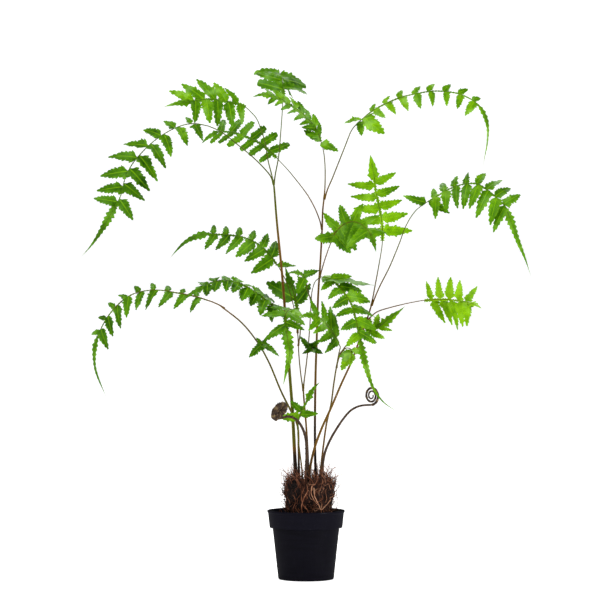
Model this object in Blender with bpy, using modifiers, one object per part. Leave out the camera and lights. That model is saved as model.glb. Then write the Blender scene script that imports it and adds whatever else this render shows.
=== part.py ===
"""Potted fern: a black nursery pot, its potting mix, a fibrous root crown, seven fronds and two fiddleheads.

Run with: blender --background --python part.py
Units are metres, +Z is up, and the origin is the middle of the pot's foot, on the surface it stands on.
"""

import math
from dataclasses import dataclass, field

import bmesh
import bpy
from mathutils import Vector

# ---------------------------------------------------------------- driving dimensions

POT_RIM_DIAMETER = 0.120
POT_BASE_DIAMETER = 0.086
POT_HEIGHT = 0.106
POT_WALL = 0.0014
POT_FLOOR = 0.0020
FOOT_WIDTH = 0.0045
FOOT_HEIGHT = 0.0030
CENTRE_FOOT_DIAMETER = 0.0240
COLLAR_HEIGHT = 0.0262
COLLAR_DRAFT = 0.0036
COLLAR_STEP = 0.0046
RIM_BEAD = 0.0011
DRAIN_DIAMETER = 0.0090
DRAIN_COUNT = 6
DRAIN_INSET = 0.0130

SOIL_BELOW_RIM = 0.0100
SOIL_CROWN_RISE = 0.0020

CROWN_FOOT_RADIUS = 0.0330
CROWN_WAIST_RADIUS = 0.0345
CROWN_SHOULDER_RADIUS = 0.0430
CROWN_DEPTH = 0.0110
CROWN_HEIGHT = 0.0570
CROWN_LEAN = 0.0045
STEM_ROOTING = 0.0240

PLANT_SCALE = 1.0
LEAFLET_THICKNESS = 0.0009
LEAFLET_EDGE_SHARE = 0.55
LEAFLET_SHOULDER = 0.36
LEAFLET_SLIMNESS = 0.13
LEAFLET_BASE_SHARE = 0.48
SINGLE_BASE = 0.0036
RACHIS_WIDTH = 0.0022
CLEARANCE = 0.0003
SOCKET_CLEARANCE = 0.0005
BLADE_GAP = 0.0005

TURNED_SIDES = 56
CM = 0.01
PLAN_POT_HEIGHT = 0.106  # the frond plans give heights above the ground for a pot this tall


# ---------------------------------------------------------------- the frond plans, in centimetres

@dataclass
class Blade:
    """One pinna: a bare stalk that leaves its stipe, then a rachis with pairs of leaflets and a long end
    lobe.

    The stalk's last point is where the rachis starts. `face` holds the direction that the upper side
    looks in, at the rachis's start and at its tip. `left` and `right` hold the leaflets' length, and
    their lean away from the rachis in degrees, at its start, its middle and its end, on each side as
    seen looking down on the upper side with the tip ahead. `singles` holds the leaflets that grow their
    own way: the side, how far along the rachis, and where the tip is.
    """

    name: str
    stalk: list
    rachis: list
    pairs: int
    left: tuple
    right: tuple
    end_lobe: float
    face: tuple
    droop: float = 0.15
    first: float = 1.2
    end_lobe_width: float = 1.1
    singles: list = field(default_factory=list)
    stalk_radius: tuple = (0.11, 0.075)


@dataclass
class Frond:
    """One frond: its stipe, from inside the root crown to its last fork, and the blades that it carries."""

    name: str
    stipe: list
    radius: tuple
    blades: list = field(default_factory=list)


FRONDS = [
    Frond(
        "tall_left",
        [(-1.6, -0.2, 13.5), (-1.6, -0.2, 16), (-1.8, -0.2, 20), (-2.1, -0.2, 26), (-2.4, -0.2, 30),
         (-3, -0.3, 38), (-3.7, -0.3, 47), (-4.5, -0.2, 55), (-4.9, 0, 60), (-5.05, 0, 61.4)],
        (0.32, 0.13),
        [
            Blade(
                "outer",
                [(-5, 0, 61), (-5.7, -0.3, 62.6), (-8, -1, 65), (-10.5, -2, 67), (-13, -2.8, 68.9),
                 (-15, -3.2, 69.8)],
                [(-15, -3.2, 69.8), (-17, -3.4, 70.15), (-19, -3.4, 69.9), (-21.5, -3.2, 68.8),
                 (-24, -3, 67), (-26.5, -3, 64.3), (-27.8, -3.2, 61.8), (-28.5, -3.5, 59),
                 (-29.9, -3.8, 56.3), (-31.5, -4, 53.5), (-33, -4, 51.3), (-34.7, -4, 49.4)],
                8,
                ((3.2, 115), (4.7, 80), (3.9, 56)),
                ((1.8, 66), (4.7, 56), (3.3, 72)),
                9.5,
                ((0.1, -0.7, 0.7), (0.4, -1, 0.1)),
            ),
            Blade(
                "middle",
                [(-5, 0, 61), (-5.35, -0.9, 62.6), (-5.9, -1.4, 64.8), (-6.3, -2, 67.3), (-6.9, -2.8, 69.2),
                 (-7.6, -3.6, 70.9), (-8.7, -4.5, 72.1)],
                [(-8.7, -4.5, 72.1), (-9.7, -5.2, 72.8), (-11.3, -6, 73.1), (-14, -7.4, 73.4),
                 (-15.7, -8.4, 73.3), (-17.5, -9.4, 72.9), (-19.4, -10.6, 72.5), (-21.4, -12, 71.8)],
                5,
                ((2.8, 110), (4.3, 92), (3.8, 62)),
                ((2.6, 62), (4.4, 56), (3.8, 46)),
                4.6,
                ((0.1, -0.95, 0.35), (0.1, -0.9, 0.5)),
            ),
            Blade(
                "top",
                [(-5, 0, 61), (-4.7, 0.5, 63), (-4.25, 0.8, 65.5), (-3.95, 1.2, 69), (-3.7, 1.6, 72.5),
                 (-3.65, 1.8, 74.3)],
                [(-3.65, 1.8, 74.3), (-3.6, 2.2, 75.6), (-3.7, 3.3, 77.2), (-3.9, 5, 78.4), (-4.2, 7.2, 79),
                 (-4.4, 9.6, 78.8), (-4.6, 12, 77.8), (-4.8, 14.2, 76.2)],
                5,
                ((3.8, 75), (4.2, 75), (3.6, 70)),
                ((4.4, 80), (4.6, 80), (3.6, 70)),
                4.2,
                ((0.3, -0.9, 0.3), (0.3, -0.7, 0.7)),
                droop=0.3,
            ),
        ],
    ),
    Frond(
        "centre",
        [(1.5, 0.4, 13.5), (1.5, 0.4, 16), (1.4, 0.4, 20), (1.4, 0.5, 26), (1.5, 0.6, 32),
         (1.7, 0.6, 38), (1.9, 0.5, 44), (2.2, 0.4, 48.5), (2.5, 0.3, 54), (2.6, 0.2, 57),
         (2.85, 0, 59.2)],
        (0.22, 0.12),
        [
            Blade(
                "left",
                [(2.5, 0.3, 54), (2.1, 0.8, 55.6), (1.3, 1.3, 57.6), (0, 2.1, 59.9), (-2.5, 3.4, 63.2),
                 (-4.1, 4.3, 65)],
                [(-4.1, 4.3, 65), (-5.4, 4.8, 66.4), (-7.1, 5.6, 67.9), (-9.2, 6.6, 69), (-11.2, 7.6, 69.8),
                 (-12.8, 8.4, 70.1), (-14.4, 9.2, 70), (-15.8, 9.9, 69.2), (-16.8, 10.4, 68.2)],
                6,
                ((2.4, 100), (3, 76), (2.8, 50)),
                ((3.6, 112), (3.8, 96), (3.2, 80)),
                3.4,
                ((0.2, -0.85, 0.5), (0.2, -0.8, 0.6)),
            ),
            Blade(
                "top",
                [(2.8, 0, 58.7), (2.95, -0.6, 61), (2.95, -1.6, 63.5), (2.8, -2.4, 65.3), (2.55, -3, 66.7)],
                [(2.55, -3, 66.7), (1.8, -3.3, 68.7), (0.9, -3.6, 70.2), (-0.3, -3.9, 71.4),
                 (-1.7, -4.2, 72.5), (-3.3, -4.5, 73.5), (-4.9, -4.8, 74.2), (-6.6, -5.1, 74.5),
                 (-8.3, -5.4, 74)],
                8,
                ((2.2, 60), (1.9, 60), (1.7, 60)),
                ((2.3, 50), (2.6, 42), (2.2, 42)),
                3,
                ((0.5, -0.8, 0.4), (0.2, -0.8, 0.6)),
                droop=0.25,
                singles=[
                    ("right", 0.6, (4.7, -4.4, 65.6)),
                    ("left", 1.1, (-0.4, -3.6, 68.9)),
                ],
            ),
            Blade(
                "right_arch",
                [(2.85, 0, 58.7), (3.4, -0.3, 60.4), (4.1, -0.6, 62), (5.3, -1.2, 65), (6.1, -1.6, 67),
                 (7, -2, 69.2), (8, -2.4, 70.4)],
                [(8, -2.4, 70.4), (8.6, -2.6, 70.9), (10.1, -3, 72.1), (11.7, -3.2, 73), (14.3, -3.6, 74.1),
                 (16.8, -3.9, 74.7), (19.7, -4.2, 75.1), (22.7, -4.6, 74.8), (24.8, -4.9, 74),
                 (26.3, -5.1, 72.9), (27.3, -5.2, 71.4), (27.8, -5.3, 69.3), (27.7, -5.3, 66.9),
                 (27.3, -5.4, 64.9), (27, -5.4, 63.2)],
                8,
                ((1.8, 60), (2.1, 60), (1.8, 50)),
                ((2.2, 70), (2.4, 84), (2.4, 80)),
                10,
                ((-0.3, -0.7, 0.6), (0.7, -0.75, 0.1)),
                droop=0.3, first=1.8,
                singles=[
                    ("left", 0.8, (5.8, -3.6, 70.2)),
                    ("right", 1.3, (11.8, -3.8, 68.4)),
                    ("right", 0.35, (8.5, -3.4, 68.3)),
                ],
            ),
            Blade(
                "fan",
                [(2.1, 0.4, 46.5), (2.6, -0.6, 48.3), (3.2, -1.8, 50.2), (3.8, -2.8, 51.8)],
                [(3.8, -2.8, 51.8), (4.5, -4, 53.4), (5.9, -5.6, 54.6), (7.4, -7.4, 54.8), (8.9, -9, 53.9),
                 (9.9, -10.6, 52.3), (10.5, -12, 49.9)],
                6,
                ((3.6, 140), (3.2, 84), (2.8, 54)),
                ((4, 116), (4.3, 96), (3.8, 72)),
                3.6,
                ((-0.1, -1, -0.2), (0.1, -0.8, 0.6)),
                droop=0.3, first=0.6,
            ),
        ],
    ),
    Frond(
        "right",
        [(0.5, -0.5, 13.5), (0.55, -0.5, 16.5), (1.2, -0.7, 19.8), (2.4, -0.9, 23.2),
         (3.9, -1, 26.5), (5.4, -1, 30), (7, -1, 33.5), (8.5, -1, 37.6), (9.5, -1, 40.3),
         (10.2, -1, 42.6)],
        (0.21, 0.12),
        [
            Blade(
                "upright",
                [(10.1, -1, 42.2), (10.6, -0.6, 44.8), (11.2, -0.4, 48), (11.7, 0, 50.8), (11.85, 0.2, 52)],
                [(11.85, 0.2, 52), (11.9, 0.3, 53.8), (11.7, 0.4, 55.8), (11.3, 0.4, 58), (10.85, 0.4, 60),
                 (10.6, 0.4, 62), (10.3, 0.3, 64), (10, 0.2, 65.7)],
                5,
                ((4.3, 92), (3.8, 78), (4.4, 80)),
                ((5.1, 96), (3.7, 88), (4.1, 70)),
                3.8,
                ((0.15, -1, 0.1), (0.1, -1, 0.1)),
                first=0.7, end_lobe_width=1.4,
            ),
            Blade(
                "arch",
                [(10.15, -1, 42.2), (11.3, -1.4, 45), (12.9, -1.8, 48.2), (14.3, -2.3, 51.6),
                 (15.4, -2.6, 54.5), (16.7, -2.9, 56.6), (18.1, -3.1, 57.8)],
                [(18.1, -3.1, 57.8), (19.3, -3.2, 58.5), (20.6, -3.4, 59.3), (21.8, -3.6, 60),
                 (23.7, -4, 60.7), (25.7, -4.4, 60.9), (27.1, -4.7, 60.3), (28.6, -5, 59.1),
                 (30.2, -5.2, 57.6), (30.8, -5.4, 56.3), (31.6, -5.5, 54.2), (32.5, -5.5, 51.7),
                 (33.4, -5.5, 49.4), (34.4, -5.4, 46.4)],
                8,
                ((2.8, 80), (3, 84), (4.3, 88)),
                ((3.8, 118), (4, 98), (4.6, 52)),
                11,
                ((-0.4, -0.6, 0.7), (0.5, -0.9, 0.2)),
                droop=0.25,
                singles=[
                    ("left", 0.4, (14.9, -3.6, 58.9)),
                    ("right", 1.0, (21.8, -3.9, 56.1)),
                ],
            ),
            Blade(
                "low",
                [(9.45, -1, 39.9), (10.9, -1.8, 41.2), (13, -3, 41.9), (15.5, -4.2, 42.5),
                 (17.6, -5.2, 42.9)],
                [(17.6, -5.2, 42.9), (19.4, -6.2, 43), (21.3, -7.4, 43), (23.1, -8.8, 42.8),
                 (24.4, -10.2, 42.5), (25.5, -11.6, 42.1), (26.2, -13, 41.5)],
                5,
                ((3.2, 104), (4.4, 106), (3.6, 104)),
                ((4.2, 60), (5, 54), (4.6, 52)),
                3.2,
                ((0.3, -0.95, 0.2), (0.3, -0.9, 0.3)),
                first=0.9,
            ),
        ],
    ),
    Frond(
        "low_left",
        [(-1.1, 0.6, 13.5), (-1.1, 0.6, 16), (-1.15, 0.7, 20), (-1.3, 0.8, 23.5), (-2.4, 0.9, 26),
         (-3.9, 0.9, 29), (-5.7, 0.8, 33.3), (-7.5, 0.6, 36.5), (-9.9, 0.2, 39.5), (-13, -0.4, 42)],
        (0.19, 0.11),
        [
            Blade(
                "long",
                [(-12.6, -0.33, 41.75), (-13.4, -0.5, 42.3), (-14.5, -0.7, 42.8)],
                [(-14.5, -0.7, 42.8), (-17, -1.1, 43.6), (-20, -1.6, 44.2), (-23, -2.1, 44.6),
                 (-26, -2.6, 44.2), (-28.3, -2.9, 42.9), (-30.4, -3.1, 40.6), (-31.7, -3.2, 38.2),
                 (-32.5, -3.2, 35.8), (-32.5, -3.2, 33.2), (-31.9, -3.2, 31), (-30.5, -3.2, 27.8)],
                9,
                ((3.0, 66), (3.7, 60), (3.2, 52)),
                ((2.2, 88), (2.3, 82), (2.2, 76)),
                10,
                ((0.2, -0.6, 0.8), (-0.8, -0.7, 0.3)),
                droop=0.3, end_lobe_width=0.8,
            ),
            Blade(
                "small",
                [(-6.9, 0.7, 35.5), (-6.85, 0.1, 35.9), (-6.8, -0.5, 36.1)],
                [(-6.8, -0.5, 36.1), (-6.7, -1.5, 36.3), (-6.5, -2.6, 36.1), (-6.3, -3.6, 35.6)],
                0,
                ((1, 60), (1, 60), (1, 60)),
                ((1, 60), (1, 60), (1, 60)),
                1.3,
                ((0.1, -1, 0.3), (0, -1, 0.3)),
                first=0.6, end_lobe_width=0.8,
                singles=[
                    ("left", 0.3, (-5.9, -0.6, 37.6)),
                    ("right", 0.75, (-8.9, -1.6, 34.4)),
                    ("left", 1.2, (-4, -2.4, 34.5)),
                    ("right", 1.65, (-7.6, -2.8, 37.3)),
                ],
            ),
        ],
    ),
    Frond(
        "inner_left",
        [(0.3, 0.5, 13.5), (0.35, 0.5, 16.5), (0.25, 0.4, 20), (0, 0.3, 24), (-0.3, 0.2, 27.5),
         (-0.45, 0.1, 29.5)],
        (0.18, 0.13),
        [
            Blade(
                "mid",
                [(-0.42, 0.15, 29), (-0.8, 0.6, 31.5), (-1.1, 1, 34.5), (-1.3, 1.4, 38), (-1.9, 1.8, 42),
                 (-3, 2.2, 45.8), (-4.2, 2.4, 48.2)],
                [(-4.2, 2.4, 48.2), (-5.6, 2.5, 50.1), (-7.2, 2.6, 51.7), (-9, 2.6, 52.7), (-11, 2.6, 53.2),
                 (-13.3, 2.6, 53.4), (-15.5, 2.5, 53.5), (-17.5, 2.4, 53), (-19, 2.3, 52.1),
                 (-20.2, 2.2, 50.9), (-21.4, 2.1, 49.5)],
                6,
                ((4.4, 96), (3.7, 70), (3, 60)),
                ((4, 66), (2.2, 80), (2.2, 92)),
                7.6,
                ((0.2, -0.75, 0.6), (0.1, -0.8, 0.5)),
                droop=0.2, first=0.9,
                singles=[
                    ("right", 0.5, (-1.6, 1.6, 48.2)),
                ],
            ),
            Blade(
                "behind",
                [(-1.3, 1.4, 38), (-1.2, 2.4, 39.6), (-1.3, 3.2, 41)],
                [(-1.3, 3.2, 41), (-1.5, 3.7, 42.6), (-1.9, 4.1, 44.2), (-2.4, 4.4, 45.8),
                 (-2.9, 4.6, 47.2), (-3.3, 4.7, 48.6)],
                0,
                ((1, 60), (1, 60), (1, 60)),
                ((1, 60), (1, 60), (1, 60)),
                3.4,
                ((0.1, -1, 0.3), (0.1, -1, 0.3)),
                first=0.8, end_lobe_width=1.2,
                singles=[
                    ("left", 2.6, (-6.2, 4.4, 45.9)),
                    ("right", 1.8, (0.9, 4.6, 45.6)),
                ],
            ),
            Blade(
                "glossy",
                [(-1.3, 1.4, 38), (-1.5, 0.4, 39.6), (-2.1, -1, 40.8), (-3.3, -2, 41.4)],
                [(-3.3, -2, 41.4), (-5, -2.6, 42.2), (-6.6, -3.2, 43.4), (-8.2, -3.7, 44.5),
                 (-9.8, -4.2, 45.4), (-12, -4.8, 46), (-14.2, -5.3, 45.7), (-16, -5.7, 44.9),
                 (-17.6, -6, 43.9), (-18.8, -6.2, 42.8)],
                8,
                ((2.6, 96), (2.2, 74), (1.8, 62)),
                ((2.9, 140), (1.9, 115), (1.7, 88)),
                3.6,
                ((-0.4, -0.6, 0.7), (0.3, -0.55, 0.8)),
                droop=0.35,
            ),
            Blade(
                "hanging",
                [(-1.2, 1.15, 36), (-0.9, 0, 38), (-1, -1.6, 40.2), (-1.5, -3, 41.4)],
                [(-1.5, -3, 41.4), (-2.4, -4.6, 41.6), (-3.1, -6, 40.8), (-3.1, -6.8, 39.2), (-2.8, -7, 37),
                 (-2.5, -7, 35), (-2.8, -6.9, 33.1), (-3.5, -6.8, 29.9)],
                3,
                ((3.2, 75), (3.4, 70), (2.8, 65)),
                ((3.2, 80), (3.6, 75), (4.2, 60)),
                8.8,
                ((0, -0.5, 0.9), (0.1, -1, 0.1)),
                first=0.8, end_lobe_width=1.3,
            ),
            Blade(
                "inner_arch",
                [(-0.44, 0.12, 29.3), (-0.1, -0.5, 32), (0.25, -0.8, 35), (0.55, -1, 38.5),
                 (0.75, -1.1, 42), (0.9, -1.25, 44.2), (1.3, -1.55, 45.7), (1.8, -1.9, 46.3)],
                [(1.8, -1.9, 46.3), (2.4, -2.35, 46.6), (3.8, -3.2, 46.3), (4.9, -4, 45.3), (5.9, -4.8, 44),
                 (6.9, -5.6, 42.4), (7.4, -6.3, 40.7), (7.8, -6.9, 38.9), (8.2, -7.4, 37), (8.6, -7.7, 35),
                 (9.2, -7.9, 32.5), (10.1, -8, 29.8), (11.6, -8, 27.6), (13.9, -8, 25.9)],
                6,
                ((3.4, 50), (4.1, 70), (3.4, 58)),
                ((2.8, 84), (3, 78), (2.8, 60)),
                13,
                ((0.3, -0.8, 0.55), (0.5, -0.85, 0.2)),
                first=1.6,
                singles=[
                    ("left", 1, (10.4, -4.8, 45.2)),
                ],
            ),
            Blade(
                "cross",
                [(0.8, -1.15, 43), (0.2, -2.2, 44.6), (0, -3.2, 46)],
                [(0, -3.2, 46), (-0.6, -3.8, 47), (-1.8, -4.4, 47.3), (-3, -5, 47)],
                0,
                ((1, 60), (1, 60), (1, 60)),
                ((1, 60), (1, 60), (1, 60)),
                2.4,
                ((0, -0.8, 0.6), (0, -0.8, 0.6)),
                first=0.4, end_lobe_width=0.9,
                singles=[
                    ("left", 0.5, (-1.4, -4.6, 44)),
                    ("right", 1.0, (2, -4.2, 47.4)),
                ],
            ),
            Blade(
                "tuft",
                [(0.25, -0.8, 35), (0.5, -1.6, 35.6), (0.7, -2.4, 35.7)],
                [(0.7, -2.4, 35.7), (0.9, -3.4, 35.6), (1.1, -4.6, 35.3), (1.2, -5.4, 34.9)],
                0,
                ((1, 60), (1, 60), (1, 60)),
                ((1, 60), (1, 60), (1, 60)),
                1.2,
                ((0, -1, 0.5), (0, -1, 0.4)),
                first=0.4, end_lobe_width=0.8,
                singles=[
                    ("left", 0.3, (2.2, -3, 37)),
                    ("right", 0.75, (-1, -2.8, 37.6)),
                    ("left", 1.2, (2.6, -4, 34.9)),
                    ("right", 1.65, (-0.6, -3.8, 34.9)),
                ],
            ),
        ],
    ),
    Frond(
        "inner_right",
        [(2.2, 0.4, 13.5), (2.3, 0.4, 16.8), (2.7, 0.5, 20.5), (3.2, 0.6, 24), (3.9, 0.7, 27),
         (4.3, 0.8, 30), (4.8, 0.8, 33), (5.4, 0.7, 35)],
        (0.16, 0.11),
        [
            Blade(
                "side",
                [(5.3, 0.7, 34.7), (6.2, 0.7, 36), (7.3, 0.8, 37)],
                [(7.3, 0.8, 37), (8.8, 1, 37.7), (10.3, 1.2, 38.4), (11.8, 1.4, 39.3), (13.2, 1.5, 40.4),
                 (14.4, 1.5, 41.3), (15.5, 1.5, 42.2)],
                3,
                ((3, 60), (2.8, 60), (2.6, 55)),
                ((2.6, 60), (2.4, 60), (2, 50)),
                4.8,
                ((-0.3, -0.85, 0.4), (-0.3, -0.85, 0.3)),
                first=0.8, end_lobe_width=1.4,
            ),
            Blade(
                "front",
                [(4.75, 0.8, 32.6), (5, -0.4, 34.4), (5.3, -1.8, 35.8)],
                [(5.3, -1.8, 35.8), (4.6, -3.6, 37.2), (3.6, -5.4, 38.6), (2.4, -7, 39.9),
                 (1.1, -8.4, 40.6), (-0.2, -9.6, 40.6), (-1.2, -10.6, 40)],
                4,
                ((4, 58), (3.8, 60), (3, 50)),
                ((3.6, 62), (3.8, 60), (3, 50)),
                3.6,
                ((0.2, -0.8, 0.5), (0.1, -0.9, 0.4)),
            ),
            Blade(
                "pale",
                [(5.3, 0.7, 34.7), (6.1, -0.4, 35.6), (6.8, -1.6, 35.6)],
                [(6.8, -1.6, 35.6), (7, -2.8, 34.9), (6.9, -3.8, 33.8), (6.7, -4.4, 32.6)],
                0,
                ((1, 60), (1, 60), (1, 60)),
                ((1, 60), (1, 60), (1, 60)),
                2.2,
                ((0, -0.8, 0.6), (0, -1, 0)),
                first=0.4, end_lobe_width=1,
                singles=[
                    ("left", 0.4, (9, -3, 34.6)),
                    ("right", 0.9, (5, -3.2, 34.4)),
                    ("right", 1.6, (5.2, -4.2, 32.4)),
                ],
            ),
        ],
    ),
    Frond(
        "young",
        [(-0.5, -0.7, 13.5), (-0.6, -0.7, 16.5), (-0.95, -0.6, 19.5), (-1.25, -0.65, 22),
         (-1.25, -0.9, 23.5)],
        (0.12, 0.09),
        [
            Blade(
                "tip",
                [(-1.26, -0.85, 23.2), (-1.25, -1, 24), (-1.1, -1.2, 24.6)],
                [(-1.1, -1.2, 24.6), (-0.8, -1.4, 25.6), (-0.3, -1.5, 26.6), (0.2, -1.6, 27.6),
                 (1, -1.7, 29.2), (2.2, -1.7, 30.5)],
                0,
                ((1, 60), (1, 60), (1, 60)),
                ((1, 60), (1, 60), (1, 60)),
                3.4,
                ((0.1, -1, 0.1), (0.1, -1, 0.1)),
                first=0.8, end_lobe_width=0.9,
                singles=[
                    ("left", 0.5, (-4.4, -2, 24.7)),
                    ("left", 1.4, (-2.5, -2, 27.4)),
                    ("right", 0.9, (1.8, -2, 25.4)),
                ],
            ),
        ],
    ),
]


@dataclass
class Fiddlehead:
    """A rolled young frond: a stem from inside the root crown, then a spiral tube in a plane of its own.

    `coil_x` is the way the stem runs as it enters the coil, and `coil_z` points from there to the
    coil's middle.
    """

    name: str
    stem: list
    radius: tuple
    coil_radius: tuple
    turns: float
    coil_x: tuple
    coil_z: tuple


FIDDLEHEADS = [
    Fiddlehead(
        "fiddlehead_left",
        [(0.0, -1.3, 13.5), (0.0, -1.4, 16.5), (0.1, -1.7, 19.5), (-0.1, -2.1, 22), (-0.8, -2.6, 23.8),
         (-1.7, -2.9, 24.8), (-2.7, -3.2, 25.15), (-3.6, -3.6, 25), (-4.4, -4.15, 24.85)],
        (0.22, 0.19), (1.45, 0.30), 2.1, (-0.7, -0.7, -0.1), (0.42, -0.28, 0.86),
    ),
    Fiddlehead(
        "fiddlehead_right",
        [(2.5, -0.5, 13.5), (2.55, -0.5, 17), (2.9, -0.6, 19.4), (3.7, -0.8, 21.4), (4.6, -1.0, 23),
         (5.8, -1.2, 24.8),
         (7, -1.4, 26.1), (8.4, -1.5, 26.75), (10.1, -1.5, 26.9)],
        (0.21, 0.15), (1.42, 0.30), 2.3, (0.74, -0.67, 0), (0, 0, 1),
    ),
]


# ---------------------------------------------------------------- scene and helpers

def clear_scene():
    """Removes every object that the file opened with."""
    for old in list(bpy.data.objects):
        bpy.data.objects.remove(old)


def new_collection(name):
    made = bpy.data.collections.new(name)
    bpy.context.scene.collection.children.link(made)
    return made


def new_material(name, colour, roughness):
    made = bpy.data.materials.new(name)
    made.use_nodes = True
    shader = made.node_tree.nodes["Principled BSDF"]
    shader.inputs["Base Color"].default_value = (*colour, 1.0)
    shader.inputs["Roughness"].default_value = roughness
    shader.inputs["Metallic"].default_value = 0.0
    return made


def add_object(name, mesh, material, collection):
    made = bpy.data.objects.new(name, mesh)
    collection.objects.link(made)
    mesh.materials.append(material)
    return made


def placed(point):
    """A plan point in metres: fronds grow from the crown, so they scale about it and rise with the pot."""
    x, y, z = (value * CM for value in point)
    crown_top = PLAN_POT_HEIGHT + 0.030
    return Vector((x * PLANT_SCALE, y * PLANT_SCALE,
                   (z - crown_top) * PLANT_SCALE + crown_top + POT_HEIGHT - PLAN_POT_HEIGHT))


def smooth(points, per_span):
    """A Catmull-Rom curve through the points, with per_span steps between each two."""
    padded = [2 * points[0] - points[1], *points, 2 * points[-1] - points[-2]]
    made = []
    for a, b, c, d in zip(padded, padded[1:], padded[2:], padded[3:]):
        for step in range(per_span):
            t = step / per_span
            made.append(0.5 * ((2 * b) + (c - a) * t + (2 * a - 5 * b + 4 * c - d) * t * t
                               + (3 * b - a - 3 * c + d) * t ** 3))
    return [*made, points[-1].copy()]


def tube_curve(name, points, radii, sides=8):
    """A curve object: a round tube through the points, whose radius runs through the list of radii."""
    curve = bpy.data.curves.new(name, "CURVE")
    curve.dimensions = "3D"
    curve.bevel_depth = 1.0
    curve.bevel_resolution = (sides - 4) // 2
    curve.use_fill_caps = True
    spline = curve.splines.new("POLY")
    spline.points.add(len(points) - 1)
    for index, (point, radius) in enumerate(zip(points, radii)):
        spline.points[index].co = (*point, 1.0)
        spline.points[index].radius = radius
    return bpy.data.objects.new(name, curve)


def tube_mesh(name, points, radii, material, collection, sides=8):
    """The same tube as a closed mesh, so that Booleans can join and cut it."""
    guide = tube_curve(name + "_guide", points, radii, sides)
    bpy.context.scene.collection.objects.link(guide)
    bpy.context.view_layer.update()
    evaluated = guide.evaluated_get(bpy.context.evaluated_depsgraph_get())
    mesh = bpy.data.meshes.new_from_object(evaluated)
    bpy.data.objects.remove(guide)
    shell = bmesh.new()
    shell.from_mesh(mesh)
    bmesh.ops.remove_doubles(shell, verts=shell.verts, dist=1e-5)
    shell.to_mesh(mesh)
    shell.free()
    mesh.materials.clear()
    mesh.shade_smooth()
    mesh.set_sharp_from_angle(angle=math.radians(50))
    return add_object(name, mesh, material, collection)


def tapered(radius, count):
    """count radii in metres, from the first of a pair in centimetres to the second."""
    return [(radius[0] + (radius[1] - radius[0]) * i / (count - 1)) * CM for i in range(count)]


def turned(name, profile, material, collection, sides=TURNED_SIDES):
    """A solid of revolution: (radius, height) points turned about Z, outer side listed top to bottom."""
    mesh = bpy.data.meshes.new(name)
    outline = bmesh.new()
    points = [outline.verts.new((radius, 0, height)) for radius, height in profile]
    for start, end in zip(points, points[1:]):
        outline.edges.new((start, end))
    outline.to_mesh(mesh)
    outline.free()
    made = add_object(name, mesh, material, collection)
    screw = made.modifiers.new("turn", "SCREW")
    screw.steps = screw.render_steps = sides
    screw.use_merge_vertices = True
    screw.merge_threshold = 1e-5
    screw.use_smooth_shade = True
    return made


def boolean(target, other, operation):
    modifier = target.modifiers.new(operation.lower() + "_" + other.name, "BOOLEAN")
    modifier.operation = operation
    modifier.object = other


def hide(tool):
    tool.hide_render = True
    tool.display_type = "WIRE"


# ---------------------------------------------------------------- pot, potting mix and crown

def pot_radius(height):
    """The outside radius of the pot's tapering body at a height, below its collar."""
    collar_foot = POT_HEIGHT - COLLAR_HEIGHT
    body_top = POT_RIM_DIAMETER / 2 - COLLAR_DRAFT - COLLAR_STEP
    return POT_BASE_DIAMETER / 2 + (body_top - POT_BASE_DIAMETER / 2) * height / collar_foot


def make_pot(material, collection, tools):
    """The thin pot: foot ring and centre foot, floor with drain holes, tapering body, stepped collar,
    beaded rim.
    """
    rim = POT_RIM_DIAMETER / 2
    collar_foot = POT_HEIGHT - COLLAR_HEIGHT
    collar_low = rim - COLLAR_DRAFT
    inner_floor = FOOT_HEIGHT + POT_FLOOR
    foot = POT_BASE_DIAMETER / 2
    profile = [
        (0, inner_floor),
        (pot_radius(inner_floor) - POT_WALL, inner_floor),
        (pot_radius(collar_foot) - POT_WALL, collar_foot),
        (collar_low - POT_WALL, collar_foot + COLLAR_STEP),
        (rim - RIM_BEAD - POT_WALL, POT_HEIGHT - RIM_BEAD),
        (rim - RIM_BEAD - POT_WALL / 2, POT_HEIGHT),
        (rim - RIM_BEAD / 2, POT_HEIGHT),
        (rim, POT_HEIGHT - RIM_BEAD / 2),
        (rim, POT_HEIGHT - 2.5 * RIM_BEAD),
        (rim - RIM_BEAD, POT_HEIGHT - 3.5 * RIM_BEAD),
        (collar_low, collar_foot),
        (collar_low - POT_WALL / 2, collar_foot - POT_WALL / 2),
        (pot_radius(collar_foot), collar_foot - POT_WALL / 2),
        (pot_radius(RIM_BEAD), RIM_BEAD),
        (foot - RIM_BEAD, 0),
        (foot - FOOT_WIDTH, 0),
        (foot - FOOT_WIDTH - FOOT_HEIGHT / 2, FOOT_HEIGHT),
        (CENTRE_FOOT_DIAMETER / 2 + FOOT_HEIGHT / 2, FOOT_HEIGHT),
        (CENTRE_FOOT_DIAMETER / 2, 0),
        (0, 0),
    ]
    pot = turned("nursery_pot", profile, material, collection)
    circle = foot - FOOT_WIDTH - DRAIN_INSET + DRAIN_DIAMETER / 2
    for index in range(DRAIN_COUNT):
        angle = math.tau * (index + 0.5) / DRAIN_COUNT
        bpy.ops.mesh.primitive_cylinder_add(
            vertices=16, radius=DRAIN_DIAMETER / 2, depth=4 * POT_FLOOR,
            location=(circle * math.cos(angle), circle * math.sin(angle), FOOT_HEIGHT + POT_FLOOR / 2),
        )
        drill = bpy.context.active_object
        drill.name = f"drain_drill_{index + 1}"
        for owner in drill.users_collection:
            owner.objects.unlink(drill)
        tools.objects.link(drill)
        hide(drill)
        boolean(pot, drill, "DIFFERENCE")
    return pot


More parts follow.
